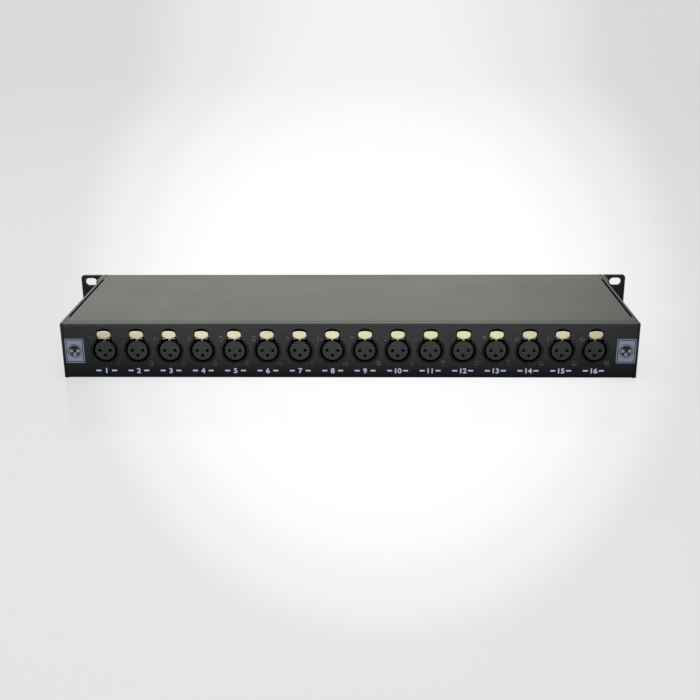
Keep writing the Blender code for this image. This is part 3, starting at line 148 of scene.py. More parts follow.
# Seen directly, the paper glows white round the case and greyer farther out, a painted pool
# of light, by the length of (x / (y + c), 1 / (y + c)), which keeps that pool round where the floor runs
# away.
POOL_BEHIND, POOL_WIDTH, POOL_ASIDE, POOL_DEPTH, POOL_MIDDLE = 0.917, 3.13, -0.075, 0.853, -0.815
pool_tones = [(0.26, 1.0), (0.92, 0.68), (0.46, 0.96), (0.6, 0.90), (0.73, 0.81)]
along, deep = paper_place.outputs["X"], paper_place.outputs["Y"]
nearness = paper_math("DIVIDE", 1.0, paper_math("MAXIMUM", paper_math("ADD", deep, POOL_BEHIND), 0.2))
pool = paper_nodes.new("ShaderNodeCombineXYZ")
pool_across = paper_math("MULTIPLY", paper_math("MULTIPLY_ADD", along, POOL_WIDTH, POOL_ASIDE), nearness)
paper_links.new(pool_across, pool.inputs[0])
paper_links.new(paper_math("MULTIPLY_ADD", nearness, POOL_DEPTH, POOL_MIDDLE), pool.inputs[1])
pool_reach = paper_nodes.new("ShaderNodeVectorMath")
pool_reach.operation = "LENGTH"
paper_links.new(pool.outputs[0], pool_reach.inputs[0])
backdrop = paper_glow(paper_ramp(pool_reach.outputs["Value"], pool_tones), (1.09, 1.09, 1.09))
# Seen in gloss, the paper glows as a painted reflection: a painted shadow darkens it close to
# the case, it dims out to its sides, and it falls off to the right.
aside, away = paper_math("ABSOLUTE", along), paper_math("ABSOLUTE", deep)
beside = paper_math("DIVIDE", aside, paper_math("ADD", away, 0.10))
close = paper_ramp(away, [(0.076, 0.0), (0.23, 1.0), (0.094, 0.12), (0.12, 0.62), (0.16, 0.94)])
close = paper_math("MAXIMUM", close, paper_ramp(aside, [(0.228, 0.0), (0.27, 0.42)]))
sides = paper_ramp(beside, [(0.42, 1.0), (0.92, 0.36), (0.7, 0.78)])
wall_tones = [(0.1, 0.82), (0.84, 0.42), (0.3, 0.98), (0.62, 1.0), (0.72, 0.79)]
wall = paper_ramp(paper_math("MULTIPLY_ADD", along, 0.25, 0.5), wall_tones)
rise = paper_math("MULTIPLY_ADD", paper_place.outputs["Z"], 0.45, 0.60)
rise = paper_math("MAXIMUM", rise, paper_math("LESS_THAN", paper_place.outputs["Z"], 0.02))
gloss = paper_math("MULTIPLY", paper_math("MULTIPLY", close, sides), paper_math("MULTIPLY", wall, rise))
plain = paper_nodes["Principled BSDF"].outputs[0]
mirrored = paper_blend(paper_path.outputs["Is Glossy Ray"], plain, paper_glow(gloss, (1.10, 1.10, 0.99)))
paper_links.new(
    paper_blend(paper_math("MULTIPLY", paper_path.outputs["Is Camera Ray"], 0.78), mirrored, backdrop),
    paper_nodes["Material Output"].inputs["Surface"],
)
sweep_mesh.materials.append(paper)


def soft_lamp(name, place, target, width, height, power):
    """Area lamp of a width and height, at a place, facing a target."""
    lamp = bpy.data.objects.new(name, bpy.data.lights.new(name, "AREA"))
    lamp.data.shape = "RECTANGLE"
    lamp.data.size = width
    lamp.data.size_y = height
    lamp.data.energy = power
    back = np.array(place, float) - np.array(target, float)
    back /= np.linalg.norm(back)
    side = np.cross([0.0, 1.0, 0.0], back)
    side /= np.linalg.norm(side)
    turn = np.eye(4)
    turn[:3, 0], turn[:3, 1], turn[:3, 2], turn[:3, 3] = side, np.cross(back, side), back, place
    lamp.matrix_world = Matrix(turn.tolist())
    bpy.context.scene.collection.objects.link(lamp)


soft_lamp("overhead_lamp", (-0.25, 0.1, 1.9), (0, 0, 0), 2.2, 1.5, 22)
soft_lamp("front_lamp", (-1.0, -1.7, 1.2), (0, 0, 0), 1.0, 0.8, 6)
room = bpy.data.worlds.new("white_room")
room.use_nodes = True
room_nodes, room_links = room.node_tree.nodes, room.node_tree.links
room_nodes["Background"].inputs["Strength"].default_value = 0.55
room_seen = room_nodes.new("ShaderNodeBackground")
room_seen.inputs["Strength"].default_value = 0.735
for part in (room_nodes["Background"], room_seen):
    part.inputs["Color"].default_value = (1, 1, 1, 1)
room_path = room_nodes.new("ShaderNodeLightPath")
room_mix = room_nodes.new("ShaderNodeMixShader")
room_either = room_nodes.new("ShaderNodeMath")
room_either.operation = "MAXIMUM"
room_links.new(room_path.outputs["Is Camera Ray"], room_either.inputs[0])
room_links.new(room_path.outputs["Is Glossy Ray"], room_either.inputs[1])
room_links.new(room_either.outputs[0], room_mix.inputs[0])
room_links.new(room_nodes["Background"].outputs[0], room_mix.inputs[1])
room_links.new(room_seen.outputs[0], room_mix.inputs[2])
room_links.new(room_mix.outputs[0], room_nodes["World Output"].inputs["Surface"])
bpy.context.scene.world = room

# Base tray
# A channel of 2 mm cold-rolled steel, folded up along both sides and powder coated black. Its
# walls are dimpled for the cover's screws; standoffs are clinched through the floor.

REAR, FRONT, MIDDLE_HEIGHT, CASE_TOP = -0.071, 0.071, 0.022, 0.044
WALL_OUTSIDE, WALL_INSIDE, WALL_FOOT, TRAY_SHEET = 0.2205, 0.2185, 0.003, 0.002
TRAY_FOLD, FLOOR_HALF, FLOOR_REACH, COAT_EDGE = 0.0008, 0.2175, 0.0692, 0.00025

Surface = namedtuple("Surface", "points faces smooth edge")


def lying(flat, level):
    """Flat (x, y) points at a height, or at a height each."""
    return np.column_stack([flat, np.broadcast_to(level, len(flat))])


def upright(flat, level):
    """Flat (x, z) points at a depth y."""
    return np.column_stack([flat[:, 0], np.broadcast_to(level, len(flat)), flat[:, 1]])


def sideways(flat, level):
    """Flat (y, z) points at a place x along the row."""
    return np.column_stack([np.broadcast_to(level, len(flat)), flat])


def box_outline(low_a, high_a, low_b, high_b):
    return np.array([(low_a, low_b), (high_a, low_b), (high_a, high_b), (low_a, high_b)])


def arc(centre, radius, start, end, steps):
    """Points of the circle of a radius about a centre, between two angles in degrees."""
    turn = np.radians(np.linspace(start, end, steps + 1))
    return np.column_stack([centre[0] + radius * np.cos(turn), centre[1] + radius * np.sin(turn)])


def ring(centre, radius, steps=32):
    return arc(centre, radius, 0, 360, steps)[:-1]


def round_box(a, b, width, height, radius, steps=6):
    """Rectangle centred at (a, b) whose corners are quarter turns of a radius."""
    reach_a, reach_b = width / 2 - radius, height / 2 - radius
    return np.concatenate([
        arc((a + side_a * reach_a, b + side_b * reach_b), radius, start, start + 90, steps)
        for side_a, side_b, start in ((1, -1, 270), (1, 1, 0), (-1, 1, 90), (-1, -1, 180))
    ])


def offset(outline, distance):
    """Counter-clockwise outline moved outwards: each point goes along the sum of its two sides'
    normals, divided by one plus their product, so that both sides keep their distance."""
    along = np.roll(outline, -1, 0) - outline
    along = along / np.linalg.norm(along, axis=1)[:, None]
    normal = np.column_stack([along[:, 1], -along[:, 0]])
    before = np.roll(normal, 1, 0)
    share = 1 + (normal * before).sum(1)
    return outline + distance * (normal + before) / share[:, None]


def grown(loop, distance):
    return loop(distance) if callable(loop) else offset(np.asarray(loop, float), distance)


def filled(loops, place, level):
    """Triangles that fill the first loop, less the others, at one level."""
    flat = np.concatenate(loops)
    deep = [np.column_stack([loop, np.zeros(len(loop))]).tolist() for loop in loops]
    return Surface(place(flat, level), np.array(tessellate_polygon(deep)), False, 0.0)


def walled(rows, edge_rows=0):
    """Quads between rows of points that each close on themselves; the first edge_rows bands are edges."""
    count, around = len(rows), len(rows[0])
    index = np.arange(count * around).reshape(count, around)
    after = np.roll(index, -1, 1)
    quads = np.stack([index[:-1], after[:-1], after[1:], index[1:]], -1).reshape(-1, 4)
    edge_wear_and_highlight = np.repeat(np.arange(count - 1) < edge_rows, around).astype(float)
    return Surface(np.concatenate(rows), quads, True, edge_wear_and_highlight)


def slab(outline, face, back, place, holes=(), edge=0.0, back_edge=0.0, steps=3):
    """Sheet between two levels: filled at both, walled round every loop, and with its edges
    rounded by a quarter turn, so a loop is off by edge (1 - sin t) at depth edge (1 - cos t)."""
    loops = [outline, *holes]
    signs = [-1.0] + [1.0] * len(holes)
    inward = np.sign(back - face)
    turn = np.linspace(0, np.pi / 2, steps + 1) if edge else np.array([np.pi / 2])
    back_turn = np.linspace(np.pi / 2, 0, steps + 1) if back_edge else np.array([np.pi / 2])
    parts = []
    ends = ((face, edge, inward, turn), (back, back_edge, -inward, back_turn))
    for loop, sign in zip(loops, signs):
        rows = []
        for level, radius, way, angles in ends:
            for t in angles:
                loop_here = grown(loop, sign * radius * (1 - np.sin(t)))
                rows.append(place(loop_here, level + way * radius * (1 - np.cos(t))))
        parts.append(walled(rows, steps if edge else 0))
    front_loops = [grown(loop, sign * edge) for loop, sign in zip(loops, signs)]
    back_loops = [grown(loop, sign * back_edge) for loop, sign in zip(loops, signs)]
    return parts + [filled(front_loops, place, face), filled(back_loops, place, back)]


def turned(profile, centre, place, steps=32):
    """Profile of (radius, level) points carried once round an axis through a flat centre."""
    turn = np.linspace(0, 2 * np.pi, steps, endpoint=False)
    circle = np.column_stack([np.cos(turn), np.sin(turn)])
    return [walled([place(np.asarray(centre) + radius * circle, level) for radius, level in profile])]


def moved(parts, x, y, z):
    return [part._replace(points=part.points + np.array([x, y, z])) for part in parts]


def piece(name, parts, material, body, stands_for=(), crease=34):
    """One mesh of several surfaces, welded where they meet, turned outwards and smooth up to a crease."""
    starts = np.cumsum([0] + [len(part.points) for part in parts])
    faces = [face for part, start in zip(parts, starts) for face in (part.faces + start).tolist()]
    mesh = bpy.data.meshes.new(name)
    mesh.from_pydata(np.concatenate([part.points for part in parts]).tolist(), [], faces)
    smooth = np.concatenate([np.full(len(part.faces), part.smooth) for part in parts])
    edge_wear_and_highlight = np.concatenate([np.broadcast_to(part.edge, len(part.faces)) for part in parts])
    mesh.polygons.foreach_set("use_smooth", smooth)
    flat = mesh.attributes.new("flat", "BOOLEAN", "FACE")
    flat.data.foreach_set("value", ~smooth)
    mesh.attributes.new("edge", "FLOAT", "FACE").data.foreach_set("value", edge_wear_and_highlight.astype(np.float32))
    work = bmesh.new()
    work.from_mesh(mesh)
    bmesh.ops.remove_doubles(work, verts=work.verts, dist=1e-7)
    bmesh.ops.recalc_face_normals(work, faces=work.faces)
    work.to_mesh(mesh)
    work.free()
    mesh.set_sharp_from_angle(angle=np.radians(crease))
    level = np.empty(len(mesh.polygons), bool)
    mesh.attributes["flat"].data.foreach_get("value", level)
    mesh.polygons.foreach_set("use_smooth", ~level)
    mesh.attributes.remove(mesh.attributes["flat"])
    mesh.materials.append(material)
    made = bpy.data.objects.new(name, mesh)
    bpy.context.scene.collection.objects.link(made)
    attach(made, body)
    if stands_for:
        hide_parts(*stands_for)
    return made


def finish(name, colour, roughness, metallic=0.0, grain=900.0, bump=0.00003, spread=0.06, tone=0.12,
           edge_wear_and_highlight=0.0):
    """Principled finish whose tone and roughness drift with broad noise, with a fine bump over
    it, and whose edges, where the edge attribute is 1, go paler in patches: edge wear on the
    coat and mouldings, and a painted highlight on the screw heads' rims."""
    material = bpy.data.materials.new(name)
    material.use_nodes = True
    tree = material.node_tree
    shader = tree.nodes["Principled BSDF"]
    shader.inputs["Metallic"].default_value = metallic
    place = tree.nodes.new("ShaderNodeTexCoord").outputs["Object"]

    def noise(scale, detail):
        node = tree.nodes.new("ShaderNodeTexNoise")
        node.inputs["Scale"].default_value = scale
        node.inputs["Detail"].default_value = detail
        tree.links.new(place, node.inputs["Vector"])
        return node.outputs["Fac"]

    def ranged(value, low, high, out_low, out_high):
        node = tree.nodes.new("ShaderNodeMapRange")
        for slot, number in zip((1, 2, 3, 4), (low, high, out_low, out_high)):
            node.inputs[slot].default_value = number
        tree.links.new(value, node.inputs[0])
        return node.outputs[0]

    broad = noise(22.0, 3.0)
    fine = noise(grain, 2.0)
    drift = ranged(broad, 0.3, 0.7, roughness - spread, roughness + spread)
    tree.links.new(drift, shader.inputs["Roughness"])
    ramp = tree.nodes.new("ShaderNodeValToRGB")
    ramp.color_ramp.elements[0].position = 0.3
    ramp.color_ramp.elements[1].position = 0.7
    ramp.color_ramp.elements[0].color = (*[c * (1 - tone) for c in colour], 1)
    ramp.color_ramp.elements[1].color = (*[min(1, c * (1 + tone)) for c in colour], 1)
    tree.links.new(fine, ramp.inputs[0])
    base = ramp.outputs[0]
    # Paler edges: wear on the coat and mouldings, a painted highlight on the screw heads' rims.
    if edge_wear_and_highlight:
        wear_and_highlight_edge = tree.nodes.new("ShaderNodeAttribute")
        wear_and_highlight_edge.attribute_name = "edge"
        share = tree.nodes.new("ShaderNodeMath")
        share.operation = "MULTIPLY"
        tree.links.new(wear_and_highlight_edge.outputs["Fac"], share.inputs[0])
        tree.links.new(ranged(noise(260.0, 4.0), 0.42, 0.62, 0.0, edge_wear_and_highlight), share.inputs[1])
        blend = tree.nodes.new("ShaderNodeMix")
        blend.data_type = "RGBA"
        tree.links.new(share.outputs[0], blend.inputs[0])
        tree.links.new(base, blend.inputs[6])
        blend.inputs[7].default_value = (*[min(1, 0.06 + 2.2 * c) for c in colour], 1)
        base = blend.outputs[2]
    tree.links.new(base, shader.inputs["Base Color"])
    relief = tree.nodes.new("ShaderNodeBump")
    relief.inputs["Strength"].default_value = 0.6
    relief.inputs["Distance"].default_value = bump
    tree.links.new(fine, relief.inputs["Height"])
    tree.links.new(relief.outputs[0], shader.inputs["Normal"])
    return material


black_coat = finish("black_powder_coat", (0.0064, 0.0102, 0.0138), 0.33, grain=1100, bump=0.000012,
                    spread=0.025, edge_wear_and_highlight=0.4)


def board_corners(x, y, width, depth):
    """The four standoff places near the corners of a board."""
    reach = np.array([width, depth]) / 2 - 0.005
    return np.array([(a, b) for a in (-1, 1) for b in (-1, 1)]) * reach + [x, y]


dimples = [(y, 0.036) for y in (-0.040, 0.040)]
ear_screws = [(0.057, 0.012), (0.057, 0.032)]
standoffs = np.concatenate([
    [(0.1935 * share, -0.030) for share in (-1, -1 / 3, 1 / 3, 1)],
    board_corners(-0.1565, 0.025, 0.101, 0.086), board_corners(0.135, 0.009, 0.130, 0.054),
])
ear_screw_holes = [ring(place, 0.0017, 20) for place in ear_screws]
wall_holes = [ring(place, 0.004) for place in dimples] + ear_screw_holes
tray = []
for side in (-1, 1):
    tray += slab(
        lambda g: box_outline(REAR - g, FRONT + g, WALL_FOOT, CASE_TOP + g),
        side * WALL_OUTSIDE, side * WALL_INSIDE, sideways, wall_holes, COAT_EDGE,
    )
    inner_corner = [(WALL_OUTSIDE, WALL_FOOT), (WALL_INSIDE, WALL_FOOT), (WALL_INSIDE, TRAY_SHEET),
                    (FLOOR_HALF, TRAY_SHEET), (FLOOR_HALF, 0.0)]
    fold = np.concatenate([
        arc((side * (WALL_OUTSIDE - TRAY_FOLD), TRAY_FOLD), TRAY_FOLD, 270, 270 + side * 90, 8),
        np.array(inner_corner) * [side, 1],
    ])
    tray += slab(fold[::side], REAR, FRONT, upright)
    for place in dimples:
        inwards = [(0.0040, 0.2205), (0.0036, 0.2201), (0.0028, 0.21895), (0.0017, 0.21895), (0.0017, 0.2174),
                   (0.0028, 0.2174), (0.0036, 0.2183), (0.0040, 0.2185)]
        tray += turned([(radius, side * x) for radius, x in inwards], place, sideways)
for side in (-1, 1):
    end_lip = box_outline(-0.2105, 0.2105, TRAY_SHEET, 0.006)
    tray += slab(end_lip, side * FLOOR_REACH, side * (FLOOR_REACH - TRAY_SHEET), upright)
tray += slab(box_outline(-FLOOR_HALF, FLOOR_HALF, -FLOOR_REACH, FLOOR_REACH), 0.0, TRAY_SHEET, lying,
             [ring(place, 0.0028, 24) for place in standoffs], 0.00012)
for place in standoffs:
    post = [(0.0, 0.0001), (0.0022, 0.0001), (0.0026, 0.0003), (0.0026, 0.0022), (0.0025, 0.0022),
            (0.0025, 0.0076), (0.0012, 0.0076), (0.0012, 0.0040), (0.0, 0.0040)]
    tray += turned(post, place, lying, 24)
stud = [(0.0, 0.0010), (0.0035, 0.0021), (0.0035, 0.0024), (0.0020, 0.0024), (0.0020, 0.0078),
        (0.0016, 0.0082), (0.0, 0.0082)]
tray += turned(stud, (0.208, 0.052), lying, 24)
piece("folded_tray", tray, black_coat, "case", ["base_tray"])

# Top cover
# A lid of 1.5 mm steel, its long sides folded down inside the walls so that a groove is left
# along each; its two ends run the full width. Screws through the dimples pull it tight.

COVER_FOLD_END, COVER_REAR, COVER_FRONT, COVER_HALF, COVER_BEND = 0.054, 0.0647, 0.0653, 0.2172, 0.0010
SHEET, FULL_HALF, COVER_FOOT, SHEET_EDGE = 0.0015, 0.2182, 0.030, 0.0002


def cover_outline(grow):
    """Full width at both ends; between them it stops where the sides fold down."""
    wide, notch, fold = FULL_HALF + grow, COVER_FOLD_END + 0.0003 - grow, COVER_HALF - COVER_BEND
    rear, front = -COVER_REAR - grow, COVER_FRONT + grow
    right = [(wide, rear), (wide, -notch), (fold, -notch), (fold, notch), (wide, notch), (wide, front)]
    return np.array(right + [(-x, y) for x, y in reversed(right)])


lid_under, skirt_inside = CASE_TOP - SHEET, COVER_HALF - SHEET
lid = slab(cover_outline, CASE_TOP, lid_under, lying, (), SHEET_EDGE)
for side in (-1, 1):
    centre = (COVER_HALF - COVER_BEND, CASE_TOP - COVER_BEND)
    skirt = np.concatenate([
        [(centre[0], lid_under), (skirt_inside, lid_under)],
        [(skirt_inside, COVER_FOOT), (COVER_HALF, COVER_FOOT)], arc(centre, COVER_BEND, 0, 90, 10),
    ])
    lid += slab((skirt * [side, 1])[::side], -COVER_FOLD_END, COVER_FOLD_END, upright)
piece("top_lid", lid, black_coat, "case", ["top_cover"])

# Rear panel
# A 1.5 mm sheet with a keyhole and two screw holes punched for each of the sixteen sockets,
# folded over at the top, where its flange lies in line with the lid and a lip goes under it.

SOCKET_XS = (np.arange(16) - 7.5) * 0.025
SCREW_CORNERS = np.array([(-1, 1), (1, -1)]) * 0.0099
PANEL_BORE, KEY_SLOT, ARCH_TOP, ARCH = 0.01085, 0.0112, 0.0179, 0.0075
PANEL_FOOT, BEND_FOOT, FLANGE_END, LIP_END, LIP_TOP = 0.0003, 0.0415, 0.0055, 0.0078, 0.0424


def keyhole(radius, slot, top, arch, steps=44):
    """Circle of a radius, open above where a slot with straight sides and an arched top joins it."""
    foot, spring = np.degrees(np.arccos(slot / 2 / radius)), np.degrees(np.arccos(slot / 2 / arch))
    bowl = arc((0, 0), radius, 180 - foot, 360 + foot, steps)
    return np.concatenate([bowl, arc((0, top - arch), arch, spring, 180 - spring, 12)])


panel_holes = [
    (lambda g, x=x: keyhole(PANEL_BORE + g, KEY_SLOT + 2 * g, ARCH_TOP + g, ARCH + g) + [x, MIDDLE_HEIGHT])
    for x in SOCKET_XS
]
panel_holes += [ring(corner + [x, MIDDLE_HEIGHT], 0.0023, 28) for x in SOCKET_XS for corner in SCREW_CORNERS]


def top_fold(face, inward):
    """Section of a panel's folded top edge: bend, flange, lip and back, as (y, z) points."""
    under = CASE_TOP - SHEET
    section = np.concatenate([
        [(0, BEND_FOOT)], arc((SHEET, under), SHEET, 180, 90, 10),
        [(FLANGE_END - SHEET_EDGE, CASE_TOP), (FLANGE_END, CASE_TOP - SHEET_EDGE), (FLANGE_END, LIP_TOP)],
        [(LIP_END, LIP_TOP), (LIP_END, BEND_FOOT), (0.0042, BEND_FOOT), (0.0038, under)],
        [(SHEET, under), (SHEET, BEND_FOOT)],
    ])
    section = section * [inward, 1] + [face, 0]
    return section[::-1] if inward > 0 else section


panel_sheet = box_outline(-FULL_HALF, FULL_HALF, PANEL_FOOT, BEND_FOOT)
back_panel = slab(panel_sheet, REAR, REAR + SHEET, upright, panel_holes, SHEET_EDGE)
back_panel += slab(top_fold(REAR, 1), -FULL_HALF, FULL_HALF, sideways)
piece("socket_panel", back_panel, black_coat, "case", ["rear_panel"])

# Panel printing
# Pale screen-printed ink on the powder coat: a plain channel number between two rules under
# each socket, and at each end a framed diagram of the three contacts.

ink = finish("pale_ink", (0.66, 0.70, 0.86), 0.5, grain=2500, bump=0.000006, tone=0.10)
frame_ink = finish("grey_blue_ink", (0.24, 0.28, 0.38), 0.5, grain=2500, bump=0.000006, tone=0.10)
INK, INK_GAP, LETTER_STRETCH = 0.00003, 0.000005, 1.12
NUMBER_Z, NUMBER_HEIGHT, RULE_PLACE, RULE_HALF, RULE_RISE = 0.0059, 0.0040, 0.0061, 0.0019, 0.0006
DIAGRAM_Z, CONTACT_RING = 0.0219, 0.0026


def ink_print(outlines, face=REAR, outward=-1):
    """Thin film of ink: each outline, less any holes given with it, raised a little off the face."""
    parts = []
    for outline, holes in outlines:
        parts += slab(outline, face + outward * INK, face + outward * INK_GAP, upright, holes)
    return parts


def number_print(text, x, z, height, face=REAR, outward=-1):
    """Filled letters of a plain built-in typeface, centred at (x, z), as one thin film."""
    letters = bpy.data.curves.new("letters", "FONT")
    letters.body = text
    letters.size = height / 0.72
    letters.align_x = "CENTER"
    letters.offset = 0.034 * height
    letters.extrude = INK / 2
    holder = bpy.data.objects.new("letters", letters)
    bpy.context.scene.collection.objects.link(holder)
    graph = bpy.context.evaluated_depsgraph_get()
    mesh = bpy.data.meshes.new_from_object(holder.evaluated_get(graph))
    bpy.data.objects.remove(holder)
    mesh.calc_loop_triangles()
    points = np.empty(len(mesh.vertices) * 3, np.float32)
    mesh.vertices.foreach_get("co", points)
    corners = np.empty(len(mesh.loop_triangles) * 3, np.int32)
    mesh.loop_triangles.foreach_get("vertices", corners)
    bpy.data.meshes.remove(mesh)
    a, b, c = points.reshape(-1, 3).astype(float).T
    level = face + outward * (c + INK / 2 + INK_GAP)
    placed = np.column_stack([x - outward * LETTER_STRETCH * a, level, z - height / 2 + b])
    return [Surface(placed, corners.reshape(-1, 3), False, 0.0)]


numbers = []
for number, x in enumerate(SOCKET_XS, 1):
    numbers += number_print(str(number), x, NUMBER_Z, NUMBER_HEIGHT)
    for middle in (x - RULE_PLACE, x + RULE_PLACE):
        rule = box_outline(middle - RULE_HALF, middle + RULE_HALF, NUMBER_Z - RULE_RISE, NUMBER_Z + RULE_RISE)
        numbers += ink_print([(rule, ())])
piece("channel_numbers", numbers, ink, "case")
diagrams = []
for x in (-0.2109, 0.2113):
    frame_line = round_box(x, DIAGRAM_Z, 0.0146, 0.0196, 0.0010)
    field = round_box(x, DIAGRAM_Z, 0.0121, 0.0170, 0.0005)
    dots = [
        (ring((x + a * CONTACT_RING, DIAGRAM_Z + b * CONTACT_RING), 0.0014, 20), ())
        for a, b in ((-1, 0), (1, 0), (0, -1))
    ]
    diagrams += ink_print([
        (frame_line, [offset(frame_line, -0.0006)]), (field, [ring((x, DIAGRAM_Z), 0.0055)]),
        (ring((x, DIAGRAM_Z), 0.0050), [ring((x, DIAGRAM_Z), 0.0044)]), *dots,
    ])
piece("contact_diagrams", diagrams, frame_ink, "case")

# Rack ears
# Two brackets of 2 mm steel bent at a right angle: a flange screwed to the side wall and a
# plate in line with the front, with two slots for the rack's screws.

EAR_EDGE, EAR_FOOT, EAR_TOP, EAR_CORNER, EAR_SHEET = 0.2413, 0.00015, 0.04385, 0.003, 0.002
BEND_X, BEND_Y, BEND_INNER, BEND_OUTER, FLANGE_START = 0.2238, 0.068, 0.001, 0.003, 0.049
SLOT_X, SLOT_ZS, SLOT_REACH, SLOT_RADIUS = 0.23255, (0.006125, 0.037875), 0.00175, 0.00325
for side, name in ((-1, "left"), (1, "right")):
    def plate_outline(grow, side=side):
        """Rectangle with its two outer corners rounded; its inner side runs into the bend."""
        edge, low, high, radius = EAR_EDGE + grow, EAR_FOOT - grow, EAR_TOP + grow, EAR_CORNER + grow
        outline = np.concatenate([
            [(BEND_X, high), (BEND_X, low)], arc((edge - radius, low + radius), radius, 270, 360, 8),
            arc((edge - radius, high - radius), radius, 0, 90, 8),
        ]) * [side, 1]
        return outline[::side]

    slots = [
        np.concatenate([
            arc((side * SLOT_X + SLOT_REACH, z), SLOT_RADIUS, -90, 90, 14),
            arc((side * SLOT_X - SLOT_REACH, z), SLOT_RADIUS, 90, 270, 14),
        ])
        for z in SLOT_ZS
    ]
    ear = slab(plate_outline, FRONT - EAR_SHEET, FRONT, upright, slots, COAT_EDGE, COAT_EDGE)
    bend = np.concatenate([
        arc((BEND_X, BEND_Y), BEND_OUTER, 180, 90, 8), arc((BEND_X, BEND_Y), BEND_INNER, 90, 180, 8),
    ]) * [side, 1]
    ear += slab(bend[::-side], EAR_FOOT, EAR_TOP, lying)
    ear += slab(
        lambda g: box_outline(FLANGE_START - g, BEND_Y, EAR_FOOT - g, EAR_TOP + g),
        side * (BEND_X - BEND_INNER), side * (BEND_X - BEND_OUTER), sideways, ear_screw_holes, COAT_EDGE,
    )
    piece(f"{name}_ear", ear, black_coat, "case", [f"rack_ear_{name}"])

# Socket shells
# Sixteen shells moulded in black nylon: a square flange behind the panel, a barrel
# through it, and a channel above for the latch, with a web behind the latch's tab. Each
# holds a contact insert and a leaf spring. Their gloss is weakened, painted shade at the bores' lips.

shell_plastic = finish("black_plastic", (0.012, 0.012, 0.013), 0.30, grain=1800, bump=0.000008, tone=0.2,
                       edge_wear_and_highlight=0.25)
# The weak gloss darkens the barrels' lips as painted shade for the shadowed gap round each bore.
shell_plastic.node_tree.nodes["Principled BSDF"].inputs["Specular IOR Level"].default_value = 0.2
insert_plastic = finish("insert_plastic", (0.0205, 0.0225, 0.026), 0.42, grain=2400, bump=0.00001, tone=0.2)
BORE, BARREL, SLOT_HALF, CHANNEL_FLOOR, INSERT, INSERT_FACE = 0.0095, 0.01055, 0.0064, 0.0082, 0.00765, 0.0004
FLANGE_HALF, BODY_HALF, SHOULDER, BODY_TOP, TOP_HALF = 0.0122, 0.0116, 0.0040, 0.0160, 0.0080
CONTACTS = ((-0.004, 0), (0.004, 0), (0, -0.004))


def barrel_lip(grow):
    """C-shaped end of the barrel: two arcs, cut off square at the latch's slot."""
    inner, outer, cut = BORE - grow, BARREL + grow, SLOT_HALF - grow
    far, near = np.degrees(np.arccos(cut / outer)), np.degrees(np.arccos(cut / inner))
    return np.concatenate([
        arc((0, 0), outer, 180 - far, 360 + far, 48), arc((0, 0), inner, 360 + near, 180 - near, 48),
    ])


def house(top_half, top):
    """Block whose shoulders slope to a narrow top, notched down the middle to the channel's floor."""
    right = [(BODY_HALF, -FLANGE_HALF), (BODY_HALF, SHOULDER), (top_half, top), (SLOT_HALF, top)]
    right += [(SLOT_HALF, CHANNEL_FLOOR)]
    return np.array(right + [(-a, b) for a, b in reversed(right)])


def shell_parts():
    """Shell about its bore's axis, with depths from the panel's face."""
    mouth = keyhole(BORE, 2 * SLOT_HALF, 0.01805, ARCH)
    flange = box_outline(-FLANGE_HALF, FLANGE_HALF, -FLANGE_HALF, 0.0192)
    web = box_outline(-0.0066, 0.0066, 0.0117, 0.0184)
    parts = slab(barrel_lip, 0.0, 0.0018, upright, (), 0.00025)
    parts += slab(flange, 0.0018, 0.0043, upright, [mouth])
    parts += slab(web, 0.0033, 0.0042, upright)
    side = np.degrees(np.arccos(SLOT_HALF / BORE))
    bore = arc((0, 0), BORE, 360 + side, 180 - side, 48)
    right = [(BODY_HALF, -FLANGE_HALF), (BODY_HALF, SHOULDER), (TOP_HALF, BODY_TOP), (SLOT_HALF, BODY_TOP)]
    hall = np.concatenate([right, bore, [(-a, b) for a, b in reversed(right)]])
    parts += slab(hall, 0.0043, 0.0165, upright)
    low_house, high_house = house(0.0098, 0.0100), house(TOP_HALF, BODY_TOP)
    depths = (0.0165, 0.0173, 0.0197, 0.0250)
    for outline, near, far in zip((high_house, low_house, high_house), depths, depths[1:]):
        parts += slab(outline, near, far, upright)
    return parts


def insert_parts():
    """Round insert with three contact holes, its rim and the holes' edges rounded."""
    holes = [ring(centre, 0.00145, 24) for centre in CONTACTS]
    return slab(ring((0, 0), INSERT, 48), INSERT_FACE, 0.0164, upright, holes, 0.0003)


def leaf_parts():
    """Bent blade that rises from the channel's floor to the latch's tail."""
    blade = [(0.0170, 0.00785), (0.01735, 0.00785), (0.0176, 0.0083), (0.0215, 0.00911), (0.0215, 0.00946),
             (0.0172, 0.0086), (0.0170, 0.0083)]
    return slab(np.array(blade), -0.0015, 0.0015, sideways)


spring_steel = finish("spring_steel", (0.60, 0.59, 0.56), 0.30, 1.0, grain=1500, bump=0.000006,
                      spread=0.07, tone=0.06)
for number, x in enumerate(SOCKET_XS, 1):
    place = (x, REAR, MIDDLE_HEIGHT)
    piece(f"shell_{number:02d}", moved(shell_parts(), *place), shell_plastic, "case",
          [f"socket_shell_{number:02d}"])
    piece(f"insert_{number:02d}", moved(insert_parts(), *place), insert_plastic, "case")
    piece(f"leaf_spring_{number:02d}", moved(leaf_parts(), *place), spring_steel, "case")

# Contacts
# Three turned brass sleeves in each insert, tin or gold plated. Only their mouths catch the
# light, just inside the holes. Their metal is given a near-black tone, painted shade for the deep holes.

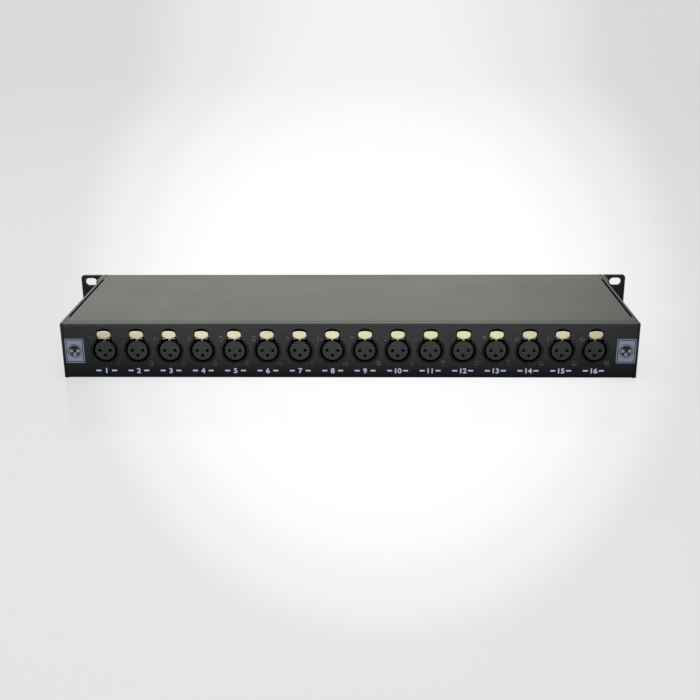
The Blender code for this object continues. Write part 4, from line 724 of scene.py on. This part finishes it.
contact_metal_darkened_as_shade = finish("contact_darkened_as_shade", (0.16, 0.145, 0.12), 0.30, 1.0, grain=3000, bump=0.000004,
                       spread=0.05)
sleeve = [(0.00140, 0.0012), (0.00137, 0.0009), (0.00126, 0.0009), (0.00112, 0.0014), (0.00112, 0.0120),
          (0.00140, 0.0120), (0.00140, 0.0012)]
for number, x in enumerate(SOCKET_XS, 1):
    sleeves = []
    for centre in CONTACTS:
        sleeves += turned(sleeve, centre, upright, 20)
    piece(f"contacts_{number:02d}", moved(sleeves, x, REAR, MIDDLE_HEIGHT), contact_metal_darkened_as_shade, "case")

# Latches
# Sixteen levers pressed from sheet steel and nickel plated: a push tab with a thin bar at its
# foot, an arm curved to the bore with a hook under it, and a pin that it rocks on.

nickel = finish("nickel_plate", (0.87, 0.785, 0.60), 0.32, 1.0, grain=1500, bump=0.000006, spread=0.07,
                tone=0.04)
TAB_CORNER, TAB_CROWN, TAB_LEAN = 0.0019, 0.0140, 73.68
ARM_MIDDLE, ARM_UNDER, ARM_OVER = (0, -0.0081), 0.0180, 0.0187


def tab_outline():
    """Slightly arched top, rounded shoulders and feet, and the neck below, mirrored about the middle."""
    right = np.concatenate([
        [(0.0026, 0.0098), (0.0026, 0.0105)], arc((0.0034, 0.0126), TAB_CORNER, 265, 360, 10),
        arc((0.0034, 0.0136), TAB_CORNER, 0, TAB_LEAN, 8), arc((0, 0.00199), TAB_CROWN, TAB_LEAN, 90, 6)[1:],
    ])
    return np.concatenate([right, (right * [-1, 1])[-2::-1]])


def latch_parts():
    """Latch about its bore's axis, with depths from the panel's face."""
    parts = slab(tab_outline(), -0.0005, 0.0004, upright, (), 0.00035, 0.0001, 4)
    parts += slab(round_box(0, 0.0099, 0.0097, 0.0004, 0.00015, 3), -0.0002, 0.0003, upright, (), 0.00015)
    for half, face, back in ((8.6, 0.0002, 0.0060), (15.8, 0.0059, 0.0215)):
        strip = np.concatenate([
            arc(ARM_MIDDLE, ARM_UNDER, 90 + half, 90 - half, 12),
            arc(ARM_MIDDLE, ARM_OVER, 90 - half, 90 + half, 12),
        ])
        parts += slab(strip, face, back, upright, (), 0.00015)
    tongue = [(0.0016, 0.0101), (0.0020, 0.0088), (0.0020, 0.0079), (0.0025, 0.0079), (0.0025, 0.0091),
              (0.0022, 0.0101)]
    parts += slab(np.array(tongue)[::-1], -0.0008, 0.0008, sideways)
    tooth = np.array([(0.0071, 0.01035), (0.0034, 0.01035), (0.0062, 0.00875), (0.0071, 0.00875)])
    parts += slab(tooth, -0.0016, 0.0016, sideways)
    pin = [(0.0, -0.0077), (0.0007, -0.0077), (0.0009, -0.0075)]
    pin += [(radius, -level) for radius, level in reversed(pin)]
    return parts + turned(pin, (0.0185, 0.0112), sideways, 20)


for number, x in enumerate(SOCKET_XS, 1):
    piece(f"latch_lever_{number:02d}", moved(latch_parts(), x, REAR, MIDDLE_HEIGHT), nickel,
          f"latch_lever_{number:02d}", [f"latch_{number:02d}"])

# Screws
# Countersunk cross-head screws, blackened: two for each socket, two in each side wall's
# dimples for the lid, and two through each ear's flange.

# Full edge strength: each head's rim is painted paler, a painted highlight round the screw.
screw_black = finish("black_screw", (0.046, 0.046, 0.048), 0.34, 0.5, grain=2200, bump=0.000006, tone=0.2,
                     edge_wear_and_highlight=1.0)


def countersunk(radius, centre, place, face, inward):
    """Head whose rows run from the shank's end over the rim to a recess, whose edge is the
    farther of two crossed bars' edges at each angle about the middle."""
    length, half = 0.62 * radius, 0.25 * radius
    tip = np.degrees(np.arctan2(half, length))
    angles = np.radians(np.add.outer([0, 90, 180, 270], [0, tip, 30, 45, 60, 90 - tip]).ravel())
    circle = np.column_stack([np.cos(angles), np.sin(angles)])
    c, s = np.maximum(np.abs(circle), 1e-9).T
    cross = np.maximum(np.minimum(length / c, half / s), np.minimum(length / s, half / c))
    rows = [(0.0 * cross, 0.75), (0.45 + 0 * cross, 0.75), (0.97 + 0 * cross, 0.10), (0.97 + 0 * cross, 0.05),
            (0.90 + 0 * cross, 0.0), (cross / radius, 0.0), (0.92 * cross / radius, 0.06),
            (0.70 * cross / radius, 0.42), (0.0 * cross, 0.50)]
    surface = walled([
        place(np.asarray(centre) + radius * share[:, None] * circle, face + inward * depth * radius)
        for share, depth in rows
    ])
    # The rim, its flat ring and the recess's edge take the paler edge tone, a painted highlight.
    rim = np.repeat(np.isin(np.arange(len(rows) - 1), (3, 4, 5)), len(angles)).astype(float)
    return [surface._replace(edge=rim)]


for number, x in enumerate(SOCKET_XS, 1):
    heads = []
    for corner in SCREW_CORNERS:
        heads += countersunk(0.0021, corner + [x, MIDDLE_HEIGHT], upright, REAR + 0.00005, 1)
    piece(f"socket_screws_{number:02d}", heads, screw_black, "case", crease=28)
for side, name in ((-1, "left"), (1, "right")):
    heads = []
    for place in dimples:
        heads += countersunk(0.0030, place, sideways, side * 0.22035, -side)
    piece(f"lid_screws_{name}", heads, screw_black, "case", crease=28)
    heads = []
    for place in ear_screws:
        heads += countersunk(0.0029, place, sideways, side * 0.22335, -side)
    piece(f"ear_screws_{name}", heads, screw_black, "case", crease=28)

# Front panel
# The same 1.5 mm sheet and fold as the rear, punched for the inlet, switch, network jack,
# display window, keys and status lenses.

INLET_X, SWITCH_X, WINDOW_X, JACK_X, JACK_Z = 0.178, 0.134, -0.062, -0.180, 0.01655
KEY_XS = 0.007 + (np.arange(4) - 1.5) * 0.014
LENS_XS = 0.070 + (np.arange(4) - 1.5) * 0.010
front_holes = [
    round_box(INLET_X, MIDDLE_HEIGHT, 0.0272, 0.0316, 0.0008, 3),
    round_box(SWITCH_X, MIDDLE_HEIGHT, 0.0132, 0.0192, 0.0008, 3),
    round_box(JACK_X, JACK_Z, 0.0342, 0.0141, 0.0004, 3),
    round_box(WINDOW_X, MIDDLE_HEIGHT, 0.0666, 0.0176, 0.0008, 3),
]
front_holes += [ring((x, MIDDLE_HEIGHT), 0.0043, 36) for x in KEY_XS]
front_holes += [round_box(x, MIDDLE_HEIGHT, 0.0056, 0.0026, 0.0004, 3) for x in LENS_XS]
fascia = slab(panel_sheet, FRONT, FRONT - SHEET, upright, front_holes, SHEET_EDGE)
fascia += slab(top_fold(FRONT, -1), -FULL_HALF, FULL_HALF, sideways)
piece("front_fascia", fascia, black_coat, "case", ["front_panel"])

# Mains inlet
# A moulded inlet clipped into the panel from outside: a rounded bezel, a deep mouth with two
# chamfered corners, three nickel-plated blades, and a slot for the fuse drawer under it.

fitting_plastic = finish("fitting_plastic", (0.013, 0.013, 0.014), 0.30, grain=1800, bump=0.000008,
                         tone=0.2, edge_wear_and_highlight=0.2)
plated = finish("plated_steel", (0.62, 0.62, 0.60), 0.32, 1.0, bump=0.00001, spread=0.08, tone=0.08)
MOUTH_Z, DRAWER_Z, BEZEL_FACE = 0.027, 0.012, 0.0738


def spade(x, z, near, far):
    """Flat terminal of 6.3 by 0.8 mm for a push-on lead, between two depths."""
    return slab(round_box(x, z, 0.0063, 0.0008, 0.0001, 2), near, far, upright, (), 0.0003)


mouth = np.array([(-0.01225, -0.00825), (0.01225, -0.00825), (0.01225, 0.00425), (0.00825, 0.00825),
                  (-0.00825, 0.00825), (-0.01225, 0.00425)]) + [INLET_X, MOUTH_Z]
drawer_slot = round_box(INLET_X, DRAWER_Z, 0.0226, 0.0084, 0.0005, 3)
bezel = round_box(INLET_X, MIDDLE_HEIGHT, 0.031, 0.035, 0.0022)
body = round_box(INLET_X, MIDDLE_HEIGHT, 0.0266, 0.031, 0.0008, 3)
inlet = slab(bezel, BEZEL_FACE, 0.0713, upright, [mouth, drawer_slot], 0.0005)
inlet += slab(body, 0.0714, 0.0573, upright, [mouth, drawer_slot])
inlet += slab(body, 0.0574, 0.0515, upright, [drawer_slot])
inlet += slab(body, 0.0516, 0.0450, upright)
piece("mains_inlet", inlet, fitting_plastic, "case", ["power_inlet"])
blades = []
for a, b in ((-0.007, -0.002), (0.007, -0.002), (0, 0.002)):
    blade = round_box(INLET_X + a, MOUTH_Z + b, 0.0020, 0.0040, 0.0004, 3)
    blades += slab(blade, 0.0718, 0.0572, upright, (), 0.0004)
    blades += spade(INLET_X + a, MOUTH_Z + b, 0.0380, 0.0452)
piece("inlet_blades", blades, plated, "case")

# Fuse drawer
# A moulded drawer under the inlet's mouth, with a finger notch in its face and a trough that
# holds one glass fuse with nickel-plated end caps.

DRAWER_HALF, DRAWER_RISE = 0.0110, 0.0039
low_left, low_right, high_right, high_left = box_outline(-DRAWER_HALF, DRAWER_HALF, -DRAWER_RISE, DRAWER_RISE)
drawer_box = round_box(INLET_X, DRAWER_Z, 2 * DRAWER_HALF, 2 * DRAWER_RISE, 0.0005, 3)
notch = [(-0.0044, -DRAWER_RISE), (-0.0044, -0.0019), (0.0044, -0.0019), (0.0044, -DRAWER_RISE)]
plate = np.array([low_left, *notch, low_right, high_right, high_left])
channel = [(0.0026, DRAWER_RISE), (0.0026, -0.0013), (-0.0026, -0.0013), (-0.0026, DRAWER_RISE)]
trough = np.array([low_left, low_right, high_right, *channel, high_left])
drawer = slab(plate + [INLET_X, DRAWER_Z], BEZEL_FACE, 0.0727, upright, (), 0.0003)
drawer += slab(drawer_box, 0.0728, 0.0716, upright)
drawer += slab(trough + [INLET_X, DRAWER_Z], 0.0717, 0.0529, upright)
drawer += slab(drawer_box, 0.0530, 0.0518, upright)
piece("fuse_tray", drawer, fitting_plastic, "drawer", ["fuse_drawer"])
FUSE_PLACE = (INLET_X, DRAWER_Z + 0.0013)
caps = []
for near, far in ((0.0532, 0.0584), (0.0714, 0.0662)):
    inwards = np.sign(far - near)
    cap = [(0.0, near), (0.0022, near), (0.0024, near + inwards * 0.0003), (0.0024, far), (0.0021, far)]
    caps += turned(cap, FUSE_PLACE, upright, 24)
piece("fuse_caps", caps, plated, "drawer")
fuse_glass = finish("fuse_glass", (0.42, 0.46, 0.45), 0.08, grain=60, bump=0.000002, spread=0.02,
                    tone=0.04)
fuse_glass.node_tree.nodes["Principled BSDF"].inputs["Alpha"].default_value = 0.4
tube = [(0.0, 0.0582), (0.0021, 0.0582), (0.0021, 0.0664), (0.0, 0.0664)]
piece("fuse_tube", turned(tube, FUSE_PLACE, upright, 24), fuse_glass, "drawer")

# Rocker switch
# A moulded frame clipped into the panel, with a glossy dished rocker on a pin inside it. The
# rocker has the plain on and off marks.

SWITCH_FACE = 0.0733
bezel = round_box(SWITCH_X, MIDDLE_HEIGHT, 0.015, 0.021, 0.0016)
well = round_box(SWITCH_X, MIDDLE_HEIGHT, 0.0108, 0.0164, 0.0004, 3)
switch_body = round_box(SWITCH_X, MIDDLE_HEIGHT, 0.0126, 0.0186, 0.0006, 3)
switch = slab(bezel, SWITCH_FACE, 0.0713, upright, [well], 0.0005)
switch += slab(switch_body, 0.0714, 0.0623, upright, [well]) + slab(switch_body, 0.0624, 0.0570, upright)
piece("rocker_frame", switch, fitting_plastic, "case", ["switch_frame"])
switch_tabs = []
for rise in (-0.0046, 0.0046):
    switch_tabs += spade(SWITCH_X, MIDDLE_HEIGHT + rise, 0.0500, 0.0572)
piece("switch_tabs", switch_tabs, plated, "case")
rocker_gloss = finish("rocker_plastic", (0.012, 0.012, 0.013), 0.16, bump=0.000004, spread=0.03, tone=0.1)
PIN_Y, PIN_HALF, PIN, TILT = 0.0711, 0.0058, 0.0009, np.radians(7.0)
ROCKER_HALF, ROCKER_WIDE = 0.0076, 0.0051


def dish(along):
    """Height of the rocker's face: 3.2 mm at the middle, 1 mm more at the ends, by the power 1.4."""
    return 0.0032 + 0.0010 * np.abs(along / ROCKER_HALF) ** 1.4


def tilted(flat):
    """(y, z) points about the pin, turned by the tilt and set on the pin's place."""
    turn = np.array([(np.cos(TILT), np.sin(TILT)), (-np.sin(TILT), np.cos(TILT))])
    return np.asarray(flat) @ turn + [PIN_Y, MIDDLE_HEIGHT]


def on_rocker(flat, level):
    """Flat (x, along) points laid on the dished face, a level above it."""
    sides = tilted(np.column_stack([dish(flat[:, 1]) + level, flat[:, 1]]))
    return np.column_stack([SWITCH_X + flat[:, 0], sides])


face_line = np.linspace(0.0072, -0.0072, 25)
rocker_line = np.concatenate([
    [(-0.0048, -0.0019), (-0.0048, 0.0019), (-0.0012, ROCKER_HALF), (0.0037, ROCKER_HALF)],
    np.column_stack([dish(face_line), face_line]), [(0.0037, -ROCKER_HALF), (-0.0012, -ROCKER_HALF)],
])
rocker = slab(
    tilted(rocker_line)[::-1], SWITCH_X - ROCKER_WIDE, SWITCH_X + ROCKER_WIDE, sideways, (), 0.0005, 0.0005,
)
pin_start, pin_end = SWITCH_X - PIN_HALF, SWITCH_X + PIN_HALF
pin = [(0.0, pin_start), (PIN, pin_start), (PIN, pin_end), (0.0, pin_end)]
rocker += turned(pin, (PIN_Y, MIDDLE_HEIGHT), sideways, 20)
piece("rocker_cap", rocker, rocker_gloss, "rocker", ["switch_rocker"])
white_ink = finish("white_ink", (0.68, 0.68, 0.66), 0.45, grain=2500, bump=0.000004, tone=0.08)
off_ring = slab(ring((0, 0.0044), 0.0016), INK, INK_GAP, on_rocker, [ring((0, 0.0044), 0.0011)])
on_bar = slab(box_outline(-0.0003, 0.0003, -0.0060, -0.0028), INK, INK_GAP, on_rocker)
piece("rocker_marks", off_ring + on_bar, white_ink, "rocker")

# Network jack
# Two ganged sockets in one moulded block on the main board. Each has the clip's key under its
# mouth and eight gold-plated spring contacts.

gold = finish("gold_contact", (0.83, 0.62, 0.26), 0.25, 1.0, grain=3000, bump=0.000004, spread=0.05)
PORT_XS, PORT_FOOT, PORT_HALF, PORT_RISE, WIRE_HALF = (-0.18825, -0.17175), 0.0142, 0.00595, 0.0070, 0.00022
tee = np.array([(-PORT_HALF, 0), (-0.0031, 0), (-0.0031, -0.0028), (0.0031, -0.0028), (0.0031, 0),
                (PORT_HALF, 0), (PORT_HALF, PORT_RISE), (-PORT_HALF, PORT_RISE)])
wire = np.array([(0.0660, 0.0209), (0.0664, 0.0206), (0.0606, 0.0166), (0.0578, 0.0166), (0.0578, 0.0170),
                 (0.0604, 0.0170)])
mouths, springs = [], []
for x in PORT_XS:
    mouths.append(tee + [x, PORT_FOOT])
    for step in (np.arange(8) - 3.5) * 0.00102:
        springs += slab(wire, x + step - WIRE_HALF, x + step + WIRE_HALF, sideways)
block = round_box(JACK_X, JACK_Z, 0.0336, 0.0135, 0.0005, 3)
jack = slab(block, FRONT, 0.0575, upright, mouths, 0.0003) + slab(block, 0.0576, 0.0500, upright)
piece("twin_jack", jack, fitting_plastic, "case", ["network_jack"])
piece("jack_contacts", springs, gold, "case")

# Display
# A dark smoked acrylic window, flush in the panel, hides a two-line character display that is
# switched off. The window and the display's frame are the solids' own shapes.

smoked = finish("smoked_acrylic", (0.010, 0.012, 0.017), 0.09, grain=60, bump=0.000002, spread=0.02,
                tone=0.04)
module_frame = finish("display_frame", (0.03, 0.03, 0.032), 0.35, 0.6, bump=0.00001, tone=0.1)
screen_tint = finish("screen_glass", (0.035, 0.075, 0.16), 0.16, grain=60, bump=0.000002, spread=0.03,
                     tone=0.05)
cell_tint = finish("screen_cell", (0.055, 0.11, 0.22), 0.2, grain=60, bump=0.000002, spread=0.03, tone=0.05)
SCREEN, SCREEN_GLASS = 0.0672, 0.0002
screen_line = round_box(WINDOW_X, MIDDLE_HEIGHT, 0.0655, 0.0185, 0.0005, 3)
screen = slab(screen_line, SCREEN, SCREEN - SCREEN_GLASS, upright, (), SCREEN_GLASS / 2)
piece("screen_glass", screen, screen_tint, "case")
cells = []
for row in (-0.0031, 0.0031):
    for column in (np.arange(16) - 7.5) * 0.00365:
        cell = box_outline(-0.0014, 0.0014, -0.0025, 0.0025) + [WINDOW_X + column, MIDDLE_HEIGHT + row]
        cells += slab(cell, SCREEN + 0.00004, SCREEN + 0.00001, upright)
piece("screen_cells", cells, cell_tint, "case")

# Menu keys
# Four round moulded caps with a shallow dish, each on a stem with a collar that stops it
# behind the panel.

for number, x in enumerate(KEY_XS, 1):
    cap = [(0.0, 0.00118), (0.0014, 0.00124), (0.0026, 0.00142), (0.0031, 0.00156), (0.0034, 0.0016),
           (0.0037, 0.00152), (0.0039, 0.0013), (0.0040, 0.0010), (0.0040, -0.0018), (0.0052, -0.0018),
           (0.0052, -0.0027), (0.0015, -0.0027), (0.0015, -0.0051), (0.0, -0.0051)]
    cap = [(radius, FRONT + rise) for radius, rise in cap]
    piece(f"key_cap_{number}", turned(cap, (x, MIDDLE_HEIGHT), upright, 40), fitting_plastic, f"key_{number}",
          [f"menu_key_{number}"], crease=40)

# Front printing
# The same pale ink: an arrow over each menu key, and a plain number over each status light
# and each network socket.

arrow = np.array([(-0.0012, -0.0007), (0.0012, -0.0007), (0.0, 0.0011)])
front_marks = []
for x, turns in zip(KEY_XS, (3, 0, 2, 1)):
    quarter = np.radians(90 * turns)
    spin = np.array([(np.cos(quarter), np.sin(quarter)), (-np.sin(quarter), np.cos(quarter))])
    front_marks += ink_print([(arrow @ spin + [x, 0.0298], ())], FRONT, 1)
for number, x in enumerate(LENS_XS[::-1], 1):
    front_marks += number_print(str(number), x, 0.0268, 0.0022, FRONT, 1)
for number, x in enumerate(PORT_XS[::-1], 1):
    front_marks += number_print(str(number), x, 0.0276, 0.0026, FRONT, 1)
piece("front_marks", front_marks, ink, "case")

# Boards, supply and leads
# Fibreglass boards with their parts, the supply, and the leads keep the solids' own shapes.
# They lie under the cover, and get the finish of their real material.

lens = finish("milky_lens", (0.62, 0.64, 0.60), 0.30, grain=60, bump=0.000002, spread=0.03, tone=0.05)
solder_mask = finish("circuit_board", (0.02, 0.14, 0.06), 0.38, grain=700, bump=0.00001, tone=0.25)
sleeve_plastic = finish("lead_sleeve", (0.07, 0.07, 0.075), 0.45, grain=1200, bump=0.00001, tone=0.15)
ribbon = finish("flat_cable", (0.36, 0.37, 0.40), 0.5, grain=800, bump=0.00002, tone=0.08)
boards = ["display_board", "output_board", "main_board", "power_supply"]
leads = ["mains_lead", "switched_lead", "earth_lead", "low_voltage_lead", "display_lead"]
finishes = dict.fromkeys(boards, solder_mask) | dict.fromkeys(leads, sleeve_plastic)
finishes |= {"display_window": smoked, "display_module": module_frame, "light_pipe": lens,
             "data_cable": ribbon}
for node, material in finishes.items():
    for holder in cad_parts[node].material_slots:
        holder.material = material
